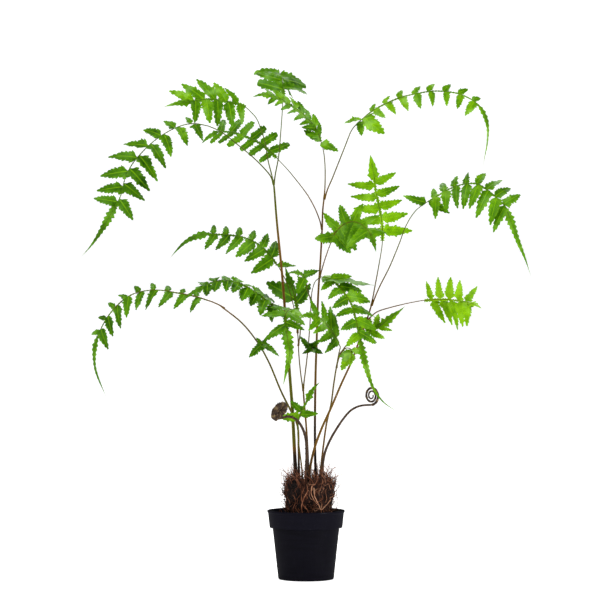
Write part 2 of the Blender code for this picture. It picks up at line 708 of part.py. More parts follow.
def crown_radius(share):
    """The crown's radius at a share of its height: a waist at the soil and a shoulder near the top."""
    steps = [(0.0, CROWN_FOOT_RADIUS), (0.18, CROWN_WAIST_RADIUS), (0.45, 0.93 * CROWN_SHOULDER_RADIUS),
             (0.75, CROWN_SHOULDER_RADIUS), (0.92, 0.90 * CROWN_SHOULDER_RADIUS)]
    for (low, start), (high, end) in zip(steps, steps[1:]):
        if share <= high:
            return start + (end - start) * (share - low) / (high - low)
    return steps[-1][1]


def make_potting_mix(material, collection):
    """The mix that fills the pot, a clearance inside its wall, with the hollow that the crown sits in."""
    top = POT_HEIGHT - SOIL_BELOW_RIM
    collar_foot = POT_HEIGHT - COLLAR_HEIGHT
    floor = FOOT_HEIGHT + POT_FLOOR + CLEARANCE
    gap = POT_WALL + 2 * CLEARANCE
    hollow = top - CROWN_DEPTH
    collar_low = POT_RIM_DIAMETER / 2 - COLLAR_DRAFT
    collar_wall = collar_low + (COLLAR_DRAFT - RIM_BEAD) * (top - collar_foot) / COLLAR_HEIGHT
    profile = [
        (0, hollow - CLEARANCE),
        (CROWN_FOOT_RADIUS + CLEARANCE, hollow - CLEARANCE),
        (CROWN_WAIST_RADIUS + 2 * CLEARANCE, top + SOIL_CROWN_RISE / 2),
        (CROWN_WAIST_RADIUS + 0.004, top + SOIL_CROWN_RISE),
        (0.94 * (collar_wall - gap), top + SOIL_CROWN_RISE / 4),
        (collar_wall - gap, top - SOIL_CROWN_RISE / 2),
        (collar_low - gap, collar_foot + COLLAR_STEP + CLEARANCE),
        (pot_radius(collar_foot) - gap, collar_foot),
        (pot_radius(floor) - gap, floor),
        (0, floor),
    ]
    return turned("potting_mix", profile, material, collection)


def make_crown(material, collection, sockets):
    """The root crown: a turned clump with uneven sides, leaning a little, and a socket for each stem."""
    foot = POT_HEIGHT - SOIL_BELOW_RIM - CROWN_DEPTH
    height = CROWN_DEPTH + CROWN_HEIGHT
    rings, sides = 9, 28
    mesh = bpy.data.meshes.new("root_crown")
    clump = bmesh.new()
    bmesh.ops.create_cone(clump, cap_ends=True, segments=sides, radius1=1, radius2=1, depth=1)
    upright = [edge for edge in clump.edges if abs(edge.verts[0].co.z - edge.verts[1].co.z) > 0.5]
    bmesh.ops.subdivide_edges(clump, edges=upright, cuts=rings, use_grid_fill=True)
    for vertex in clump.verts:
        share = vertex.co.z + 0.5
        angle = math.atan2(vertex.co.y, vertex.co.x)
        above_soil = max(0.0, (share - 0.25) / 0.75)
        waves = 0.05 * math.sin(3 * angle + 1.0) + 0.035 * math.sin(7 * angle + 5 * share)
        ripple = 1 + above_soil * waves
        radius = crown_radius(share) * ripple
        rise = 0.004 * above_soil * math.sin(2 * angle + 0.6)
        vertex.co = Vector((radius * math.cos(angle) + CROWN_LEAN * above_soil,
                            radius * math.sin(angle), foot + height * share + rise))
    clump.to_mesh(mesh)
    clump.free()
    crown = add_object("root_crown", mesh, material, collection)
    for socket in sockets:
        boolean(crown, socket, "DIFFERENCE")
    return crown


# ---------------------------------------------------------------- stems

def make_socket(name, points, radii, tools):
    """A hidden tube, a clearance wider than a stem's foot, that cuts the crown."""
    rooted = [point for point in points if point.z < points[0].z + 2.2 * STEM_ROOTING]
    below = points[0] - Vector((0, 0, SOCKET_CLEARANCE))
    wide = [radius + SOCKET_CLEARANCE for radius in radii[:len(rooted)]]
    socket = tube_mesh(name + "_socket", [below, *rooted[1:]], wide, bpy.data.materials["root_fibre"], tools)
    hide(socket)
    return socket


def make_stem(frond, material, collection, tools, sockets):
    """A stipe and the bare stalks that fork from it, joined into one solid."""
    path = smooth([placed(p) for p in frond.stipe], 2)
    radii = tapered(frond.radius, len(path))
    stem = tube_mesh(f"{frond.name}_stem", path, radii, material, collection)
    sockets.append(make_socket(frond.name, path, radii, tools))
    for blade in frond.blades:
        stalk = smooth([placed(p) for p in blade.stalk], 2)
        radii = tapered(blade.stalk_radius, len(stalk))
        branch = tube_mesh(f"{frond.name}_{blade.name}_stalk", stalk, radii, material, tools, sides=6)
        hide(branch)
        boolean(stem, branch, "UNION")
    return stem


def coil(start, heading, inward, radii, turns):
    """Points of a flat spiral that leaves `start` along `heading` and winds towards its middle."""
    heading = heading.normalized()
    inward = (inward - inward.dot(heading) * heading).normalized()
    outer, inner = (radius * CM for radius in radii)
    middle = start + inward * outer
    steps = round(14 * turns)
    made = []
    for step in range(1, steps + 1):
        share = step / steps
        angle = math.tau * turns * share
        radius = outer + (inner - outer) * share
        made.append(middle + radius * (math.sin(angle) * heading - math.cos(angle) * inward))
    return made


def make_fiddlehead(plan, material, collection, tools, sockets):
    path = smooth([placed(p) for p in plan.stem], 2)
    stem_count = len(path)
    path += coil(path[-1], Vector(plan.coil_x), Vector(plan.coil_z), plan.coil_radius, plan.turns)
    radii = tapered(plan.radius, stem_count)
    radii += tapered((plan.radius[1], 0.6 * plan.radius[1]), len(path) - stem_count)
    sockets.append(make_socket(plan.name, path[:stem_count], radii, tools))
    return tube_mesh(plan.name, path, radii, material, collection)


# ---------------------------------------------------------------- blades

class Spine:
    """A rachis as a smooth path that can be read at any distance along it."""

    def __init__(self, points, face):
        self.points = smooth(points, 12)
        self.along = [0.0]
        for start, end in zip(self.points, self.points[1:]):
            self.along.append(self.along[-1] + (end - start).length)
        self.length = self.along[-1]
        self.face = [Vector(direction).normalized() for direction in face]

    def at(self, distance):
        """Position, tangent, upward normal and side direction at a distance along the path."""
        distance = min(max(distance, 0.0), self.length)
        index = max(i for i, value in enumerate(self.along[:-1]) if value <= distance)
        span = self.along[index + 1] - self.along[index]
        share = (distance - self.along[index]) / span
        start, end = self.points[index], self.points[index + 1]
        ahead, behind = min(index + 2, len(self.points) - 1), max(index - 1, 0)
        tangent = (self.points[ahead] - self.points[behind]).normalized()
        normal = self.face[0].lerp(self.face[1], distance / self.length)
        normal = (normal - normal.dot(tangent) * tangent).normalized()
        return start.lerp(end, share), tangent, normal, tangent.cross(normal)


def between(knots, share):
    """The (length, lean) pair at a share of the way along three of them."""
    place = 2 * share
    low, high = (knots[0], knots[1]) if place < 1 else (knots[1], knots[2])
    place %= 1
    return tuple(start + (end - start) * place for start, end in zip(low, high))


def end_lobe_width(share):
    """The end lobe's width, as a share of its widest, from its base to its drawn-out tip."""
    return max(0.10, min(0.45 + 3.4 * share, 1.12 * (1.0 - share) ** 1.25))


def make_blade(frond, blade, material, collection):
    """A thin blade: the rachis strip, a leaflet on each side of it for every pair, and the long end lobe."""
    spine = Spine([placed(p) for p in blade.rachis], blade.face)
    lobe_start = spine.length - blade.end_lobe * CM * PLANT_SCALE
    first = blade.first * CM * PLANT_SCALE
    pitch = (lobe_start - first) / max(1, blade.pairs)
    base_half = LEAFLET_BASE_SHARE / 2 * pitch
    sheet = bmesh.new()
    stiffness = sheet.verts.layers.deform.verify()

    def corner(point, weight):
        vertex = sheet.verts.new(point)
        vertex[stiffness][0] = weight
        return vertex

    def edge_pair(distance, half_width, weight):
        position, _, _, side = spine.at(distance)
        return [corner(position - side * half_width, weight), corner(position + side * half_width, weight)]

    def leaflet(edges, position, normal, across, reach, droop):
        length = reach.length

        def at(share, width):
            return position + reach * share + across * width * length - normal * droop * length * share ** 2

        shoulder_back = corner(at(LEAFLET_SHOULDER, -LEAFLET_SLIMNESS), 0.5)
        shoulder_front = corner(at(LEAFLET_SHOULDER, LEAFLET_SLIMNESS), 0.5)
        tip = corner(at(1.0, 0.0), 0.2)
        back, front = edges
        sheet.faces.new((back, front, shoulder_front, shoulder_back))
        sheet.faces.new((shoulder_back, shoulder_front, tip))

    def paired_leaflet(edges, distance, side_sign, share):
        position, tangent, normal, side = spine.at(distance)
        length, lean = between(blade.left if side_sign < 0 else blade.right, share)
        lean = math.radians(lean)
        out = (math.cos(lean) * tangent + math.sin(lean) * side_sign * side).normalized()
        across = (tangent - tangent.dot(out) * out).normalized()
        leaflet(edges, position, normal, across, out * length * CM * PLANT_SCALE, blade.droop)

    def single_leaflet(edges, distance, tip):
        position, tangent, normal, _ = spine.at(distance)
        reach = placed(tip) - position
        across = (tangent - tangent.dot(reach) / reach.length_squared * reach).normalized()
        leaflet(edges, position, normal, across, reach, 0.0)

    stations = [edge_pair(BLADE_GAP, RACHIS_WIDTH / 2, 1.0)]
    growths = [(first + (index + 0.5) * pitch, base_half, (index + 0.5) / blade.pairs)
               for index in range(blade.pairs)]
    growths += [(along * CM * PLANT_SCALE, SINGLE_BASE / 2, (side, tip))
                for side, along, tip in blade.singles]
    for middle, half_base, growth in sorted(growths, key=lambda item: item[0]):
        half = RACHIS_WIDTH / 2 * (1 - 0.4 * middle / spine.length)
        back = edge_pair(middle - half_base, half, 1.0)
        front = edge_pair(middle + half_base, half, 1.0)
        if isinstance(growth, float):
            for column, sign in ((0, -1), (1, 1)):
                paired_leaflet((back[column], front[column]), middle, sign, growth)
        else:
            side, tip = growth
            column = 1 if side == "right" else 0
            single_leaflet((back[column], front[column]), middle, tip)
        stations += [back, front]
    steps = 7
    for step in range(steps + 1):
        share = step / steps
        half = blade.end_lobe_width * CM / 2 * end_lobe_width(share)
        reach = lobe_start + (spine.length - lobe_start) * share
        if step == 0:
            half = RACHIS_WIDTH / 2
        stations.append(edge_pair(reach, half, 0.9 - 0.6 * share))
    for (left, right), (next_left, next_right) in zip(stations, stations[1:]):
        sheet.faces.new((left, right, next_right, next_left))
    bmesh.ops.recalc_face_normals(sheet, faces=sheet.faces)
    mesh = bpy.data.meshes.new(f"{frond.name}_{blade.name}_blade")
    sheet.to_mesh(mesh)
    sheet.free()
    made = add_object(mesh.name, mesh, material, collection)
    made.vertex_groups.new(name="stiffness")
    thicken = made.modifiers.new("thickness", "SOLIDIFY")
    thicken.thickness = LEAFLET_THICKNESS
    thicken.offset = 0
    thicken.vertex_group = "stiffness"
    thicken.thickness_vertex_group = LEAFLET_EDGE_SHARE
    return made


# ---------------------------------------------------------------- assembly

def main():
    clear_scene()
    plant = new_collection("potted_fern")
    tools = new_collection("cutters_and_joined_shapes")
    plastic = new_material("pot_plastic", (0.018, 0.019, 0.023), 0.42)
    mix = new_material("potting_mix", (0.030, 0.020, 0.014), 0.95)
    fibre = new_material("root_fibre", (0.075, 0.028, 0.014), 0.85)
    bark = new_material("stem_skin", (0.120, 0.085, 0.020), 0.55)
    scaly = new_material("fiddlehead_skin", (0.085, 0.060, 0.030), 0.70)
    leaf = new_material("leaf", (0.085, 0.250, 0.015), 0.40)

    make_pot(plastic, plant, tools)
    make_potting_mix(mix, plant)
    sockets = []
    for frond in FRONDS:
        make_stem(frond, bark, plant, tools, sockets)
        for blade in frond.blades:
            make_blade(frond, blade, leaf, plant)
    for plan in FIDDLEHEADS:
        make_fiddlehead(plan, scaly, plant, tools, sockets)
    make_crown(fibre, plant, sockets)


main()
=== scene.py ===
"""Looks for a potted fern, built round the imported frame.

The plan of every frond is given in centimetres from the middle of the pot's foot: x to the right, y away
from the front view, z up. Every piece below takes its place from that plan or from the frame's own boxes.
"""

import logging
import math
import random
from dataclasses import dataclass, field
from enum import Enum

import bmesh
import bpy
from mathutils import Matrix, Vector, noise


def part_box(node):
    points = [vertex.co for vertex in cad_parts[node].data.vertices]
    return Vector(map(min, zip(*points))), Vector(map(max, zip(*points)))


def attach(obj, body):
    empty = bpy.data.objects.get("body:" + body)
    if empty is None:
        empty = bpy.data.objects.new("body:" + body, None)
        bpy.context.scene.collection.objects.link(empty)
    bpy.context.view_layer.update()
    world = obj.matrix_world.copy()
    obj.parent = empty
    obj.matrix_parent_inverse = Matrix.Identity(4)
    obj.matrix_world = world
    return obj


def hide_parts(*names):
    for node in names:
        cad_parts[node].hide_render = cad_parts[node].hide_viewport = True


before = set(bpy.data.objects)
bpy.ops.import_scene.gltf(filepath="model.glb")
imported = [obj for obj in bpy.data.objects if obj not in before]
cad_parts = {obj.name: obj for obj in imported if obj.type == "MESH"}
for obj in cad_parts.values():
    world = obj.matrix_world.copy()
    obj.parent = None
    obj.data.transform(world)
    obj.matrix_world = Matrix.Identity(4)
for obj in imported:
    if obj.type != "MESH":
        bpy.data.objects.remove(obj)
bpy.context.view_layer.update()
LOG = logging.getLogger("potted_fern")
CM = 0.01
BODY = "root"
POT_COLLAR = 0.0262


class Slot(Enum):
    """The record's material slots."""

    POT = "pot_plastic"
    COMPOST = "potting_mix"
    FIBRE = "root_fibre"
    STEM = "stem_skin"
    SCALE = "fiddlehead_skin"
    LEAF = "leaf"


class Side(Enum):
    """A side of a rachis, seen from above its upper face with the tip ahead."""

    LEFT = -1
    RIGHT = 1


# ---------------------------------------------------------------- node graphs

class Wire:
    """One output socket of a node tree, with Python's operators adding the Math nodes."""

    def __init__(self, graph: "Graph", socket: bpy.types.NodeSocket) -> None:
        """Wraps a socket.

        Args:
            graph: The graph that the socket belongs to.
            socket: An output socket.
        """
        self.graph = graph
        self.socket = socket

    def _math(self, operation: str, first: object, second: object = 0.0) -> "Wire":
        """One Math node, or one Vector Math node where either side is a vector.

        Args:
            operation: The node's operation.
            first: A Wire or a number.
            second: A Wire or a number.

        Returns:
            The result.
        """
        is_vector = any(isinstance(item, Wire) and item.socket.type == "VECTOR" for item in (first, second))
        if not is_vector:
            return self.graph.node("ShaderNodeMath", {"operation": operation}, {0: first, 1: second})
        if operation == "MULTIPLY" and not (isinstance(second, Wire) and second.socket.type == "VECTOR"):
            return self.graph.node("ShaderNodeVectorMath", {"operation": "SCALE"}, {0: first, 3: second})
        return self.graph.node("ShaderNodeVectorMath", {"operation": operation}, {0: first, 1: second})

    def __add__(self, other: object) -> "Wire":
        """Sum."""
        return self._math("ADD", self, other)

    def __radd__(self, other: object) -> "Wire":
        """Sum, reflected."""
        return self._math("ADD", other, self)

    def __sub__(self, other: object) -> "Wire":
        """Difference."""
        return self._math("SUBTRACT", self, other)

    def __rsub__(self, other: object) -> "Wire":
        """Difference, reflected."""
        return self._math("SUBTRACT", other, self)

    def __mul__(self, other: object) -> "Wire":
        """Product, or a vector scaled by a number."""
        return self._math("MULTIPLY", self, other)

    def __rmul__(self, other: object) -> "Wire":
        """Product, reflected."""
        return self._math("MULTIPLY", self, other)

    def __pow__(self, power: float) -> "Wire":
        """Power."""
        return self._math("POWER", self, power)

    def __abs__(self) -> "Wire":
        """The value without its sign."""
        return self._math("ABSOLUTE", self)

    def sine(self) -> "Wire":
        """The sine of the value."""
        return self._math("SINE", self)

    def fraction(self) -> "Wire":
        """The part of the value after its decimal point."""
        return self._math("FRACT", self)

    def span(self, low: float, high: float) -> "Wire":
        """The value mapped smoothly.

        Args:
            low: What gives 0.
            high: What gives 1. It may be below low.

        Returns:
            The mapped value.
        """
        return self.graph.node(
            "ShaderNodeMapRange",
            {"interpolation_type": "SMOOTHSTEP"},
            {"Value": self, "From Min": low, "From Max": high, "To Min": 0.0, "To Max": 1.0},
        )


class Graph:
    """A shader or geometry node tree that is filled by expressions."""

    def __init__(self, tree: bpy.types.NodeTree) -> None:
        """Wraps a node tree.

        Args:
            tree: An empty tree.
        """
        self.tree = tree

    def node(self, kind: str, settings: dict = {}, inputs: dict = {}, output: object = 0) -> Wire:
        """Adds one node.

        Args:
            kind: The node's type.
            settings: Its settings, set first. A ramp's stops go under "stops" as (place, colour) pairs.
            inputs: A value or a Wire for each of its sockets, by name or by number.
            output: The name or the number of the output that is returned.

        Returns:
            The chosen output.
        """
        made = self.tree.nodes.new(kind)
        for name, value in settings.items():
            if name == "stops":
                self._fill_ramp(made.color_ramp, value)
            else:
                setattr(made, name, value)
        for key, value in inputs.items():
            socket = made.inputs[key]
            if isinstance(value, Wire):
                self.tree.links.new(value.socket, socket)
            elif value is not None:
                socket.default_value = value
        return Wire(self, made.outputs[output] if len(made.outputs) else made.inputs[0])

    @staticmethod
    def _fill_ramp(ramp: bpy.types.ColorRamp, stops: list) -> None:
        """Puts the stops on a colour ramp.

        Args:
            ramp: The ramp, as a new node has it.
            stops: (place, colour) pairs in order.
        """
        while len(ramp.elements) > 1:
            ramp.elements.remove(ramp.elements[-1])
        for index, (place, colour) in enumerate(stops):
            element = ramp.elements[0] if index == 0 else ramp.elements.new(place)
            element.position = place
            element.color = (*colour, 1.0)

    def attribute(self, name: str) -> Wire:
        """A number stored on the mesh."""
        return self.node("ShaderNodeAttribute", {"attribute_name": name}, {}, "Fac")

    def place(self) -> Wire:
        """The Object coordinates."""
        return self.node("ShaderNodeTexCoord", {}, {}, "Object")

    def noise(self, scale: float, detail: float = 2.0, roughness: float = 0.5, where: Wire = None) -> Wire:
        """Noise from 0 to 1.

        Args:
            scale: Lumps in a metre.
            detail: Octaves.
            roughness: How strong the small lumps are.
            where: The coordinates, or none for the Object coordinates.

        Returns:
            The noise's value.
        """
        where = where or self.place()
        return self.node(
            "ShaderNodeTexNoise", {},
            {"Vector": where, "Scale": scale, "Detail": detail, "Roughness": roughness}, "Fac",
        )

    def mix(self, factor: object, first: object, second: object) -> Wire:
        """Two colours mixed.

        Args:
            factor: 0 for the first, 1 for the second.
            first: A colour or a Wire.
            second: A colour or a Wire.

        Returns:
            The mixed colour.
        """
        first, second = ((*c, 1.0) if isinstance(c, tuple) and len(c) == 3 else c for c in (first, second))
        return self.node("ShaderNodeMix", {"data_type": "RGBA"}, {0: factor, 6: first, 7: second}, 2)

    def ramp(self, value: Wire, stops: list) -> Wire:
        """A colour read from stops at a value."""
        return self.node("ShaderNodeValToRGB", {"stops": stops}, {0: value}, 0)

    def bump(self, height: Wire, strength: float, distance: float) -> Wire:
        """A bumped normal from a height."""
        return self.node(
            "ShaderNodeBump", {}, {"Height": height, "Strength": strength, "Distance": distance}, "Normal",
        )


class Skin:
    """A material with one principled shader that fills from expressions."""

    def __init__(self, name: str, **constants: object) -> None:
        """Makes the material.

        Args:
            name: The material's name.
            constants: Values that hold all over, by socket name with underscores for spaces.
        """
        self.material = bpy.data.materials.new(name)
        self.material.use_nodes = True
        self.graph = Graph(self.material.node_tree)
        self.shader = self.material.node_tree.nodes["Principled BSDF"]
        for key, value in constants.items():
            self.shader.inputs[key.replace("_", " ")].default_value = value

    def feed(self, name: str, wire: Wire) -> None:
        """Links what changes over the surface to one of the shader's sockets."""
        self.graph.tree.links.new(wire.socket, self.shader.inputs[name])

    def let_light_through(self, share: float, colour: tuple, normal: Wire) -> None:
        """Mixes in light that passes through a thin leaf.

        Args:
            share: How much of the shader it is.
            colour: The colour of that light.
            normal: The bumped normal.
        """
        graph = self.graph
        through = graph.node("ShaderNodeBsdfTranslucent", {}, {"Color": (*colour, 1.0), "Normal": normal})
        body = Wire(graph, self.shader.outputs[0])
        both = graph.node("ShaderNodeMixShader", {}, {0: share, 1: body, 2: through})
        surface = self.material.node_tree.nodes["Material Output"].inputs["Surface"]
        graph.tree.links.new(both.socket, surface)


# ---------------------------------------------------------------- finishes

@dataclass(frozen=True)
class PlasticFinish:
    """Moulded black polypropylene: satin, with flow marks round it, a painted highlight on its collar and a
    little dust near its foot.
    """

    base: tuple = (0.0010, 0.0008, 0.0013)
    # the paler, bluer tone of the flow marks, also used for the painted highlight on the collar
    flow_and_highlight: tuple = (0.0036, 0.0033, 0.0070)
    dust: tuple = (0.070, 0.062, 0.054)
    roughness: float = 0.36

    def material(self) -> bpy.types.Material:
        """The finished material."""
        skin = Skin("pot_plastic_moulded", Specular_IOR_Level=0.0, Coat_Weight=0.06, Coat_Roughness=0.30)
        graph = skin.graph
        x, y, z = split(graph)
        stretched = graph.node("ShaderNodeCombineXYZ", {}, {0: x * 1.0, 1: y * 1.0, 2: z * 9.0})
        flow = graph.noise(26.0, 3.0, 0.6, stretched)
        grain = graph.noise(2600.0, 2.0, 0.5)
        # the collar is painted in the paler, bluer tone: a painted highlight
        collar_highlight = z.span(0.0792, 0.0806)
        plain = graph.mix(flow, self.base, self.flow_and_highlight)
        top = graph.mix(collar_highlight * 0.55, plain, self.flow_and_highlight)
        specks = graph.noise(340.0, 4.0, 0.7).span(0.60, 0.80) * z.span(0.030, 0.0)
        scuffs = graph.noise(90.0, 5.0, 0.75).span(0.64, 0.80)
        skin.feed("Base Color", graph.mix(specks * 0.18 + scuffs * 0.02, top, self.dust))
        skin.feed("Roughness", self.roughness + flow * 0.08 + scuffs * 0.12 + specks * 0.2)
        height = grain * 0.12 + flow * 0.30 + graph.noise(160.0, 2.0, 0.5) * 0.12
        skin.feed("Normal", graph.bump(height, 0.16, 0.0010))
        return skin.material


@dataclass(frozen=True)
class CompostFinish:
    """Moist dark compost crumb with paler bark and pumice specks."""

    dark: tuple = (0.006, 0.004, 0.003)
    brown: tuple = (0.050, 0.027, 0.014)
    pale: tuple = (0.190, 0.120, 0.070)

    def material(self) -> bpy.types.Material:
        """The finished material."""
        skin = Skin("compost_crumb", Specular_IOR_Level=0.25)
        graph = skin.graph
        lumps = graph.noise(420.0, 5.0, 0.65)
        tone = graph.mix(lumps.span(0.35, 0.65), self.dark, self.brown)
        specks = graph.attribute("pale") * graph.noise(900.0, 2.0, 0.5).span(0.3, 0.6)
        skin.feed("Base Color", graph.mix(specks, tone, self.pale))
        skin.feed("Roughness", 0.72 + lumps * 0.25)
        skin.feed("Normal", graph.bump(lumps + graph.noise(2200.0, 3.0, 0.6) * 0.4, 0.7, 0.0012))
        return skin.material


@dataclass(frozen=True)
class RootFinish:
    """Wiry root fibre: each strand its own brown, from near black to a dry tan, with painted shade on the
    left head.
    """

    black: tuple = (0.0040, 0.0015, 0.0010)
    brown: tuple = (0.0560, 0.0160, 0.0070)
    russet: tuple = (0.2000, 0.0700, 0.0330)
    tan: tuple = (0.4200, 0.2200, 0.1300)

    def material(self) -> bpy.types.Material:
        """The finished material."""
        skin = Skin("root_fibre_wiry", Specular_IOR_Level=0.15)
        graph = skin.graph
        # the left head is painted darker than the right: painted shade
        painted_shade_left = split(graph)[0].span(0.004, -0.022) * 0.14
        shade = graph.attribute("shade") + (graph.noise(260.0, 3.0, 0.6) - 0.5) * 0.30 - painted_shade_left
        stops = [(0.0, self.black), (0.35, self.brown), (0.72, self.russet), (1.0, self.tan)]
        skin.feed("Base Color", graph.ramp(shade, stops))
        skin.feed("Roughness", 0.58 + graph.noise(500.0) * 0.25)
        skin.feed("Normal", graph.bump(graph.noise(3000.0, 3.0, 0.6), 0.4, 0.0004))
        return skin.material


@dataclass(frozen=True)
class StemFinish:
    """A fern's stipe: black-brown at its foot, then brown, ochre or olive, with fine ribs along it and
    painted shade in the groove on its upper side.
    """

    black: tuple = (0.0045, 0.0022, 0.0010)
    brown: tuple = (0.026, 0.012, 0.004)
    ochre: tuple = (0.150, 0.070, 0.006)
    olive: tuple = (0.088, 0.096, 0.003)
    green: tuple = (0.090, 0.170, 0.012)

    def material(self) -> bpy.types.Material:
        """The finished material."""
        skin = Skin("stem_skin_ribbed", Specular_IOR_Level=0.08)
        graph = skin.graph
        x, y, z = split(graph)
        long_spots = graph.node("ShaderNodeCombineXYZ", {}, {0: x, 1: y, 2: z * 0.12})
        streaks = graph.noise(420.0, 3.0, 0.6, long_spots)
        tint = graph.attribute("tint") + (streaks - 0.5) * 0.16 + (graph.noise(70.0) - 0.5) * 0.10
        colours = (self.black, self.brown, self.ochre, self.olive, self.green)
        stops = [(index / 4, colour) for index, colour in enumerate(colours)]
        ribs = (graph.attribute("around") * (math.tau * 5.0)).sine() * 0.5 + 0.5
        groove = graph.attribute("groove")
        # the groove along the upper side is darkened towards black: painted shade in the groove
        colour = graph.mix(ribs * 0.22 + groove * 0.45, graph.ramp(tint, stops), self.black)
        skin.feed("Base Color", colour)
        skin.feed("Roughness", 0.34 + streaks * 0.22)
        skin.feed("Normal", graph.bump(ribs * 0.5 + streaks * 0.5, 0.35, 0.0004))
        return skin.material


@dataclass(frozen=True)
class ScaleFinish:
    """A fiddlehead's skin: brown-black scales over a cream and olive core."""

    black: tuple = (0.013, 0.008, 0.006)
    brown: tuple = (0.058, 0.032, 0.016)
    cream: tuple = (0.360, 0.280, 0.130)

    def material(self) -> bpy.types.Material:
        """The finished material."""
        skin = Skin("fiddlehead_scaly", Specular_IOR_Level=0.12)
        graph = skin.graph
        shade = graph.attribute("shade") + (graph.noise(500.0, 3.0, 0.65) - 0.5) * 0.35
        stops = [(0.0, self.black), (0.45, self.brown), (1.0, self.cream)]
        skin.feed("Base Color", graph.ramp(shade, stops))
        skin.feed("Roughness", 0.45 + graph.noise(300.0) * 0.25)
        skin.feed("Normal", graph.bump(graph.noise(1800.0, 3.0, 0.6), 0.45, 0.0005))
        return skin.material


@dataclass(frozen=True)
class LeafFinish:
    """A fern leaflet: waxy mid green, sunk forking veins with painted shade, a paler underside, painted sheen
    and light through it.
    """

    deep: tuple = (0.005, 0.030, 0.001)
    mid: tuple = (0.075, 0.215, 0.001)
    bright: tuple = (0.280, 0.560, 0.002)
    under: tuple = (0.130, 0.290, 0.015)
    through: tuple = (0.260, 0.560, 0.004)
    # pale colour mixed into glossy pinnae: a painted sheen
    painted_sheen: tuple = (0.330, 0.500, 0.300)

    def material(self) -> bpy.types.Material:
        """The finished material."""
        skin = Skin("leaf_waxy", Specular_IOR_Level=0.05)
        graph = skin.graph
        along, across = graph.attribute("along"), graph.attribute("across")
        reach = abs(across)
        under = graph.attribute("underside")
        tone = graph.attribute("tone")
        # side veins leave the midrib and run forwards, with the tone paler between them; on the upper side
        # they are painted darker, as painted shade in the sunk veins
        wave = (along * 13.0 - reach * 1.9).fraction() - 0.5
        vein = 1.0 - abs(wave).span(0.02, 0.16)
        midrib = 1.0 - reach.span(0.02, 0.10)
        mottle = graph.noise(150.0, 3.0, 0.6)
        patch = graph.noise(38.0, 2.0, 0.5)
        level = tone + (mottle - 0.5) * 0.55 + (patch - 0.5) * 1.05 + reach * 0.16 - 0.05
        stops = [(0.0, self.deep), (0.5, self.mid), (1.0, self.bright)]
        blade = graph.ramp(level, stops)
        # the upper side's veins are darkened: painted shade in the sunk veins
        vein_shaded = graph.mix(vein * 0.60, blade, self.deep)
        ribbed = graph.mix(midrib * 0.55, vein_shaded, self.bright)
        lower = graph.mix(vein * 0.25, self.under, self.mid)
        both = graph.mix(under * 0.7, ribbed, lower)
        gloss = graph.attribute("gloss")
        # on glossy pinnae, pale patches of painted sheen
        with_painted_sheen = graph.mix(gloss * patch.span(0.52, 0.68) * 0.36, both, self.painted_sheen)
        skin.feed("Base Color", with_painted_sheen)
        skin.feed("Roughness", 0.50 + under * 0.15 - gloss * 0.14 + (mottle - 0.5) * 0.2)
        height = vein * -0.5 + midrib * -0.9 + graph.noise(900.0, 2.0, 0.5) * 0.25
        normal = graph.bump(height, 0.45, 0.0006)
        skin.feed("Normal", normal)
        skin.let_light_through(0.22, self.through, normal)
        return skin.material


@dataclass(frozen=True)
class FloorFinish:
    """Seamless studio paper, near white and softly lit from behind."""

    paper: tuple = (0.86, 0.86, 0.86)
    shaded: tuple = (0.82, 0.82, 0.83)
    glow: float = 0.40

    def material(self) -> bpy.types.Material:
        """The finished material."""
        skin = Skin("floor_paper", Specular_IOR_Level=0.1, Emission_Color=(1.0, 1.0, 1.0, 1.0),
                    Emission_Strength=self.glow)
        graph = skin.graph
        skin.feed("Base Color", graph.mix(graph.noise(3.0) * 0.03, self.paper, self.shaded))
        skin.feed("Roughness", 0.85 + graph.noise(60.0) * 0.1)
        return skin.material


def split(graph: Graph) -> tuple[Wire, Wire, Wire]:
    """The three Object coordinates.

    Args:
        graph: The graph that they are added to.

    Returns:
        X, Y and Z.
    """
    made = graph.node("ShaderNodeSeparateXYZ", {}, {0: graph.place()})
    outputs = made.socket.node.outputs
    return tuple(Wire(graph, outputs[index]) for index in range(3))


# ---------------------------------------------------------------- the frond plans, in centimetres

@dataclass
class Blade:
    """One pinna: a bare stalk that leaves its stipe, then a rachis with pairs of leaflets and a long end
    lobe.

    The stalk's last point is where the rachis starts. `face` holds the direction that the upper side
    looks in, at the rachis's start and at its tip. `left` and `right` hold the leaflets' length, and
    their lean away from the rachis in degrees, at its start, its middle and its end, on each side as
    seen looking down on the upper side with the tip ahead. `singles` holds the leaflets that grow their
    own way: the side, how far along the rachis, and where the tip is.
    """

    name: str
    stalk: list
    rachis: list
    pairs: int
    left: tuple
    right: tuple
    end_lobe: float
    face: tuple
    droop: float = 0.15
    first: float = 1.2
    end_lobe_width: float = 1.1
    singles: list = field(default_factory=list)
    stalk_radius: tuple = (0.11, 0.075)


@dataclass
class Frond:
    """One frond: its stipe, from inside the root crown to its last fork, and the blades that it carries."""

    name: str
    stipe: list
    radius: tuple
    blades: list = field(default_factory=list)


